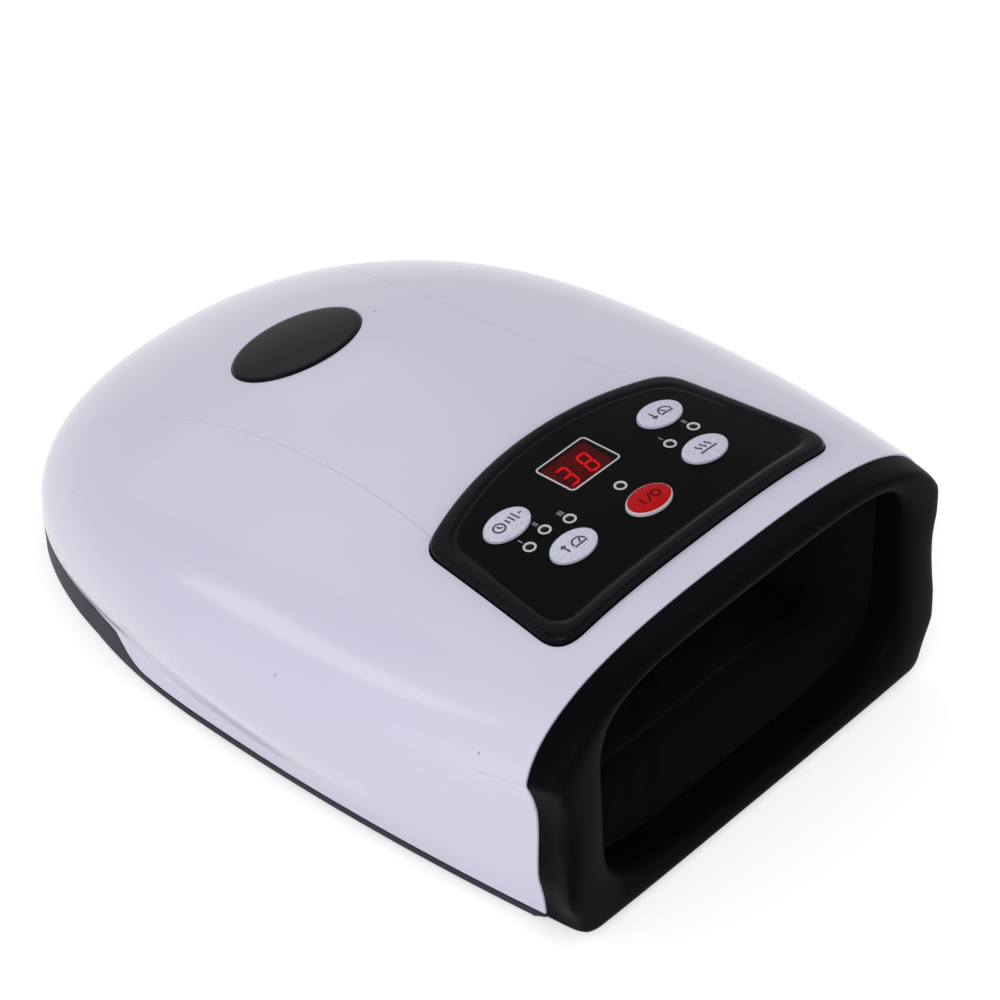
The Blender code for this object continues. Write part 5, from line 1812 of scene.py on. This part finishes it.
def sewnTuft(side, depth):  # between the studs under the palm
    count, length = pads["tufts"], pads["back"] - pads["front"]
    mid = []
    for i in range(count):
        for j in range(count):
            x = pads["half"] * (2 * (i + 0.5) / count - 1) + pads["half"] / count
            y = pads["front"] + length * (j + 0.5) / count + length / (2 * count)
            mid.append(np.hypot(side - x, depth - y))
    return np.min(mid, axis=0) < 0.8 * pads["cell"]


def makePads():
    def pressTop(depth):
        return pressBottom(depth) + pads["pressThick"]

    def pressWeld(depth):
        return pressBottom(depth) + pads["pressWeld"]

    piece = makePad("press_pad", pressTop, pressWeld, sewnChannel, pads["pressSwell"], False)
    finishPiece(piece, "press_unit", ("press_cover",))

    def palmLow(depth):
        return handSpace["palmTop"] - pads["palmDrop"] + 0 * depth

    def palmHigh(depth):
        return palmLow(depth) + pads["palmThick"]

    piece = makePad("palm_pad", palmHigh, palmLow, sewnTuft, pads["palmSwell"], True)
    finishPiece(piece, "palm_unit", ("palm_cover",))


makePads()
print("pads made")


# Air cells, welded round the edge and at spots

cells = {
    "columns": 57,
    "rows": 63,
    "edgePower": 14,
    "welds": [(x, y) for x in (-0.5, 0.0, 0.5) for y in (-0.6, -0.2, 0.2, 0.6)],
    "weldReach": 3.4 * mm,
    "weldShare": 0.75,
    "seamRise": 0.12,  # share of the height that the rim keeps
    "upperThick": 3.6 * mm,
    "upperDrop": 2.3 * mm,
}


def airCell(name, lowAt, highAt, node, flip):
    half, front, back = pads["half"], pads["front"], pads["back"]
    grids = np.meshgrid(np.linspace(-1, 1, cells["columns"]), np.linspace(-1, 1, cells["rows"]))
    across, along = (grid.ravel() for grid in grids)
    side, depth = across * half, (front + back) / 2 + along * (back - front) / 2
    full = np.clip(1 - np.maximum(np.abs(across), np.abs(along)) ** cells["edgePower"], 0, 1) ** 0.5
    for x, y in cells["welds"]:
        away = np.hypot((across - x) * half, (along - y) * (back - front) / 2)
        full = full * (1 - cells["weldShare"] * np.exp(-((away / cells["weldReach"]) ** 2)))
    low, high = lowAt(depth), highAt(depth)
    middle, rise = (low + high) / 2, (high - low) / 2
    rise = rise * (cells["seamRise"] + (1 - cells["seamRise"]) * full)
    top, bottom = (np.column_stack((side, depth, height)) for height in (middle + rise, middle - rise))
    mesh = makeMesh(name, np.concatenate((top, bottom)), pocketFaces(cells["rows"], cells["columns"]))
    piece = makePiece(name, mesh, "cellSkin", 60)
    centre = (front + back) / 2
    fall = (highAt(back) - highAt(front)) / (back - front)
    lean = Vector((0, -fall, 1)).normalized()
    high, low = (Vector((0, centre - casing["length"] / 2, float(at(centre)))) for at in (highAt, lowAt))
    thick = (high - low).dot(lean)
    start, end = (high, high - lean * thick) if flip else (low, low + lean * thick)
    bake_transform(piece)
    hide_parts(node)


def makeCells():
    def upperTop(depth):
        return trayHeight(depth) - cells["upperDrop"]

    def upperBottom(depth):
        return upperTop(depth) - cells["upperThick"]

    airCell("upper_cell", upperBottom, upperTop, "upper_air_cell", True)
    low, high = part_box("lower_air_cell")
    airCell("lower_cell", lambda depth: low[2] + 0 * depth, lambda depth: high[2] + 0 * depth,
            "lower_air_cell", False)


makeCells()
print("air cells made")


# Base tray

base = {
    "bottom": 0.0015,
    "floor": 0.0024,
    "front": 0.017,
    "chamfer": 0.8 * mm,
    "lipWall": 0.002,
    "lipGap": 0.0005,
    "lipFront": 0.007,
    "lipMore": 0.0045,
    "lipStep": (0.030, 0.006),
    "bossTop": 0.0145,
    "bossHalf": 5.2 * mm,
    "sinkHalf": 3.3 * mm,
    "boreHalf": 1.8 * mm,
    "toe": 0.0141,
    "toeWide": 2.0 * mm,
    "toeTrim": 1.2 * mm,
    "centre": (0.0, 0.13, 0.0),
    "boardRibs": (-0.051, -0.023),
    "boardRest": ((0.005, 0.193, 0.009), (0.0027, 0.0052)),  # size and place, then both heights
    "postPlaces": (0.006, 0.032),
    "postRest": (0.22425, 0.0027, 0.0057),
}
screwPlaces = ((-0.067, 0.045), (0.067, 0.045), (-0.062, 0.186), (0.062, 0.186))
footPlaces = ((-0.052, 0.036), (0.052, 0.036), (-0.050, 0.206), (0.050, 0.206))


def makeBase():
    bottom, chamfer = base["bottom"], base["chamfer"]
    inner = casing["wall"] + base["lipGap"]
    floorTop = bottom + base["floor"]

    def wallTop(depth):
        return skirtHeight(depth) - gap

    def lipTop(depth):
        start, run = base["lipStep"]
        return base["lipFront"] + base["lipMore"] * np.clip((depth - start) / run, 0, 1)

    steps = [(chamfer, lambda d: bottom), (0.35 * chamfer, lambda d: bottom + 0.12 * chamfer)]
    steps += [(0.1 * chamfer, lambda d: bottom + 0.4 * chamfer), (0.0, lambda d: bottom + chamfer)]
    steps += [(0.0, wallTop), (inner, wallTop), (inner, lipTop)]
    steps += [(inner + base["lipWall"], lipTop), (inner + base["lipWall"], lambda d: floorTop)]
    # every loop keeps the same stations, so its count stays the same
    rows = []
    stations = outlineStations(base["front"])
    for inset, heightAt in steps:
        right = []
        for station in stations:
            shifted = station
            if station[1] is None:  # the straight front moves in with the rest
                share = (casing["widest"] - station[0]) / (casing["widest"] - base["front"])
                shifted = (station[0] + inset * share, None)
            nominal = float(outlinePoint(shifted, 0.0)[1])
            height = float(heightAt(nominal))
            side, depth = outlinePoint(shifted, inset + float(tuckIn(nominal, height)))
            right.append((float(side - flankDip(depth, height)), float(depth), height))
        right = np.array(right)
        rows.append(np.concatenate((right, (right * (-1, 1, 1))[::-1][1:])))
    centre = base["centre"]
    low = [centre + (rows[0] - centre) * (share, share, 1) for share in (0.01, 0.35, 0.7)]
    high = [centre + (rows[-1] - centre) * (share, share, 1) for share in (0.7, 0.35, 0.01)]
    piece = makePiece("base_tray", makeMesh("base_tray", *loft(low + rows + high)), "baseGrey", 35)
    top = base["bossTop"]
    for side, depth in screwPlaces:
        cut(piece, tube((side, depth, bottom + 1.2 * mm), (side, depth, top), base["bossHalf"]), "UNION")
        cut(piece, tube((side, depth, bottom - 4 * mm), (side, depth, bottom + 2.2 * mm), base["sinkHalf"]))
        cut(piece, tube((side, depth, bottom), (side, depth, top + 4 * mm), base["boreHalf"], 24))
    for hand in (-1, 1):
        cut(piece, baseToe(hand), "UNION")
    (wide, middle, reach), (foot, head) = base["boardRest"]
    for start in base["boardRibs"]:
        rest = brick((start, middle - reach, foot), (start + wide, middle + reach, head))
        cut(piece, rest, "UNION")
    depth, foot, head = base["postRest"]
    for side in base["postPlaces"]:
        cut(piece, tube((side, depth, foot), (side, depth, head), 3.0 * mm, 24), "UNION")
    smoothMesh(piece.data, 35)
    finishPiece(piece, nodes=("base_shell",))


def baseToe(hand):  # the tray's wall runs on under the shell's front corner, up to the bezel
    loops = []
    for depth, trim in ((base["toe"], base["toeTrim"]), (base["front"] + 1.2 * mm, 0.0)):
        side = halfWidth(depth) - tuckIn(depth, 0.0) - 0.05 * mm - trim / 2
        low, high = base["bottom"] + 0.1 * mm + trim, casing["skirtFront"] - gap - 0.05 * mm
        inner = side - base["toeWide"]
        plan = ((side, low), (side, high), (inner, high), (inner, low))
        loops.append([(hand * x, depth, z) for x, z in plan])
    return loft(loops)


def brick(low, high):
    plan = [(low[0], low[1]), (high[0], low[1]), (high[0], high[1]), (low[0], high[1])]
    return loft([atHeight(plan, low[2]), atHeight(plan, high[2])])


makeBase()
print("base made")


# Feet and screws

def makeFasteners():
    up = [(0, 0, 1)] * 4
    foot = ((0.05, 0), (3.4, 0), (3.6, 0.35), (4.4, 0.35), (4.6, 0), (6.5, 0))
    foot += ((6.85, 0.1), (7.0, 0.35), (7.0, 1.2), (0.05, 1.2))
    foot = [(radius * mm, height * mm) for radius, height in foot]
    names = ("front_left", "front_right", "rear_left", "rear_right")
    piece = setOnPoints("feet", [(x, y, 0.0) for x, y in footPlaces], up, spun(foot, 48), "footRubber")
    finishPiece(piece, nodes=["foot_" + name for name in names])
    low = base["bottom"] + gap
    screw = [(0.03, 0.9), (0.5, 0.8), (0.9, 0.0), (2.5, 0.0), (2.85, 0.15), (3.0, 0.5)]
    screw += [(3.0, 1.6), (1.5, 1.6)]
    for height in np.arange(2.4, 16.4, 0.8):  # the thread
        screw += [(1.15, height), (1.5, height + 0.3)]
    screw += [(1.1, 16.8), (0.1, 17.0)]
    screw = [(radius * mm, height * mm) for radius, height in screw]
    piece = setOnPoints("base_screws", [(x, y, low) for x, y in screwPlaces], up, spun(screw, 28), "steel")
    finishPiece(piece, nodes=["screw_" + name for name in names])
    posts = []
    for place in screwPlaces:
        ring = oval(place, 4.2 * mm, 4.2 * mm, 32)
        top = topHeight(ring[:, 0], ring[:, 1], casing["wall"]) + 0.2 * mm
        posts.append(loft([atHeight(ring, base["bossTop"] + gap), np.column_stack((ring, top))]))
    piece = makePiece("screw_posts", makeMesh("screw_posts", *join(posts)), "whiteMoulding")
    finishPiece(piece)


makeFasteners()


# Massage plate with its rows of studs

studs = {"count": 4, "spread": 0.75, "half": 4.5 * mm, "tall": 2.2 * mm, "corner": 2 * mm}


def studTree():
    tree = nodeTree("studRows", [
        ("Columns", "NodeSocketInt", 4), ("Rows", "NodeSocketInt", 4),
        ("Width", "NodeSocketFloat", 0.1), ("Length", "NodeSocketFloat", 0.1),
        ("Stud", "NodeSocketObject", None), ("Material", "NodeSocketMaterial", None)])
    given = addTo(tree, "NodeGroupInput")
    grid = addTo(tree, "GeometryNodeMeshGrid", sockets={
        "Size X": given.outputs["Width"], "Size Y": given.outputs["Length"],
        "Vertices X": given.outputs["Columns"], "Vertices Y": given.outputs["Rows"]})
    stud = addTo(tree, "GeometryNodeObjectInfo", sockets={"Object": given.outputs["Stud"]})
    placed = addTo(tree, "GeometryNodeInstanceOnPoints", sockets={
        "Points": grid.outputs[0], "Instance": stud.outputs["Geometry"]})
    both = addTo(tree, "GeometryNodeJoinGeometry")
    tree.links.new(given.outputs["Geometry"], both.inputs[0])
    tree.links.new(placed.outputs[0], both.inputs[0])
    closeTree(tree, both.outputs[0], given.outputs["Material"])
    return tree


def makeMassagePlate():
    low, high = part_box("massage_plate")
    half, tall, corner = studs["half"], studs["tall"], studs["corner"]
    plateTop = high[2] - tall
    width, length = high[0] - low[0], high[1] - low[1]
    centre = ((low[0] + high[0]) / 2, (low[1] + high[1]) / 2 + casing["length"] / 2)
    plan = roundedBox(centre, width / 2, length / 2, corner)
    rows = [atHeight(plan, low[2]), atHeight(plan, plateTop - gap)]
    rows.append(atHeight(roundedBox(centre, width / 2 - gap, length / 2 - gap, corner), plateTop))
    plate = makeMesh("massage_studs", *loft(rows))
    shift = Vector((centre[0], centre[1] - casing["length"] / 2, plateTop))
    plate.transform(Matrix.Translation(-shift))
    turn = np.linspace(0, math.pi / 2, 7)
    dome = [(0.03 * mm, -1.0 * mm), (half, -1.0 * mm)]
    dome += [(half * math.cos(t) ** 0.6 + 0.03 * mm, tall * math.sin(t) ** 0.8) for t in turn]
    points, faces = spun(dome, 20)
    stud = newObject("stud", makeMesh("stud", points + (0, casing["length"] / 2, 0), faces))
    piece = runTree("massage_studs", studTree(), plate, {
        "Columns": studs["count"], "Rows": studs["count"], "Stud": stud, "Material": finish["innerPlastic"],
        "Width": width * studs["spread"], "Length": length * studs["spread"]})
    piece.data.transform(Matrix.Translation(shift))
    discard(stud)
    finishPiece(piece, "palm_unit", ("massage_plate",))


makeMassagePlate()
print("fasteners and studs made")


# Power socket at the back

def makeSocket():
    low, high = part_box("power_socket")
    x, z = socket["side"], socket["height"]
    back = casing["length"] - socket["inward"]
    box = brick((low[0], back - 0.010, low[2]), (high[0], back, socket["blockTop"]))
    piece = makePiece("socket_body", makeMesh("socket_body", *box), "innerPlastic")
    end = high[1] + casing["length"] / 2
    cut(piece, tube((x, back - 0.005, z), (x, end, z), socket["radius"], 48), "UNION")
    cut(piece, tube((x, back - 0.005, z), (x, end + 0.004, z), socket["bore"], 48))
    smoothMesh(piece.data, 35)
    finishPiece(piece, nodes=("power_socket",))
    pin = socket["pin"]
    profile = [(0.02 * mm, 0.0), (pin, 0.0), (pin, 6.3 * mm), (0.8 * pin, 6.9 * mm), (0.02 * mm, 7.1 * mm)]
    points, faces = spun(profile, 28)
    points = points[:, (0, 2, 1)] * (-1, 1, 1) + (x, back - 0.005, z)
    finishPiece(makePiece("socket_pin", makeMesh("socket_pin", points, faces), "steel"))


makeSocket()


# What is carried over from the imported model

carried = {
    "innerPlastic": (
        "inner_frame", "press_plate", "pump_housing", "pump_head", "swash_plate", "air_manifold"),
    "boardGreen": ("control_board", "power_board"),
    "footRubber": (
        "timer_switch", "pressure_switch", "release_switch", "heat_switch", "power_switch", "pump_diaphragm"),
    "warmFilm": ("heating_film",),
    "steel": ("pump_motor", "motor_rotor", "upper_valve", "lower_valve"),
    "brass": ("upper_valve_plunger", "lower_valve_plunger"),
    "hoseSkin": ("pump_hose", "upper_hose", "lower_hose"),
}


def dressCarried():
    for name, nodes in carried.items():
        for node in nodes:
            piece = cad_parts[node]
            if not piece.material_slots:
                piece.data.materials.append(finish[name])
            for each in piece.material_slots:
                each.material = finish[name]


dressCarried()


# Floor and light

studio = {
    "ambient": 0.52,
    "lamps": {  # power, place, width and height
        "key": (8.6, (-1.15, -0.55, 0.80), 0.9, 0.9),
        "fill": (4.5, (0.8, -1.0, 0.7), 1.2, 1.2),
        "back": (2.2, (0.3, 1.1, 1.0), 1.1, 1.1),
        "side": (0.95, (-0.76, 0.67, 0.62), 0.60, 0.22),
    },
    "floorHalf": 4,
    "floorGlow": 0.42,
}


def seenStraight(tree):  # 1 for what the camera sees, also in a gloss or through glass
    seen = Wire(tree).node("ShaderNodeLightPath", {}, {}, "Is Camera Ray")
    rays = seen.socket.node.outputs
    for ray in ("Is Glossy Ray", "Is Transmission Ray"):
        seen = seen.maths("MAXIMUM", Wire(tree, rays[ray]))
    return seen


def setFloor():
    far = studio["floorHalf"]
    mesh = bpy.data.meshes.new("floor")
    mesh.from_pydata([(-far, -far, 0), (far, -far, 0), (far, far, 0), (-far, far, 0)], [], [(0, 1, 2, 3)])
    material = bpy.data.materials.new("floorPaper")
    material.use_nodes = True
    tree = material.node_tree
    shader = tree.nodes["Principled BSDF"]
    shader.inputs["Base Color"].default_value = rgb(0.86, 0.86, 0.86)
    shader.inputs["Roughness"].default_value = 0.9
    shader.inputs["Specular IOR Level"].default_value = 0.0
    glow = seenStraight(tree).blend(rgb(0, 0, 0), rgb(1, 1, 1))
    tree.links.new(glow.socket, shader.inputs["Emission Color"])
    shader.inputs["Emission Strength"].default_value = studio["floorGlow"]
    mesh.materials.append(material)
    newObject("floor", mesh)


def setWorld():
    world = bpy.data.worlds.new("studio")
    bpy.context.scene.world = world
    world.use_nodes = True
    background = world.node_tree.nodes["Background"]
    background.inputs["Color"].default_value = rgb(1, 1, 1)
    strength = seenStraight(world.node_tree) * (1 - studio["ambient"]) + studio["ambient"]
    world.node_tree.links.new(strength.socket, background.inputs["Strength"])


def setLamps():
    for name, (power, place, width, height) in studio["lamps"].items():
        data = bpy.data.lights.new(name, "AREA")
        data.energy, data.shape, data.size, data.size_y = power, "RECTANGLE", width, height
        lamp = newObject(name, data)
        lamp.location = place
        lamp.rotation_mode = "QUATERNION"
        lamp.rotation_quaternion = (Vector((0, 0, 0.04)) - Vector(place)).to_track_quat("-Z", "Y")


setFloor()
setWorld()
setLamps()
print("stage set")
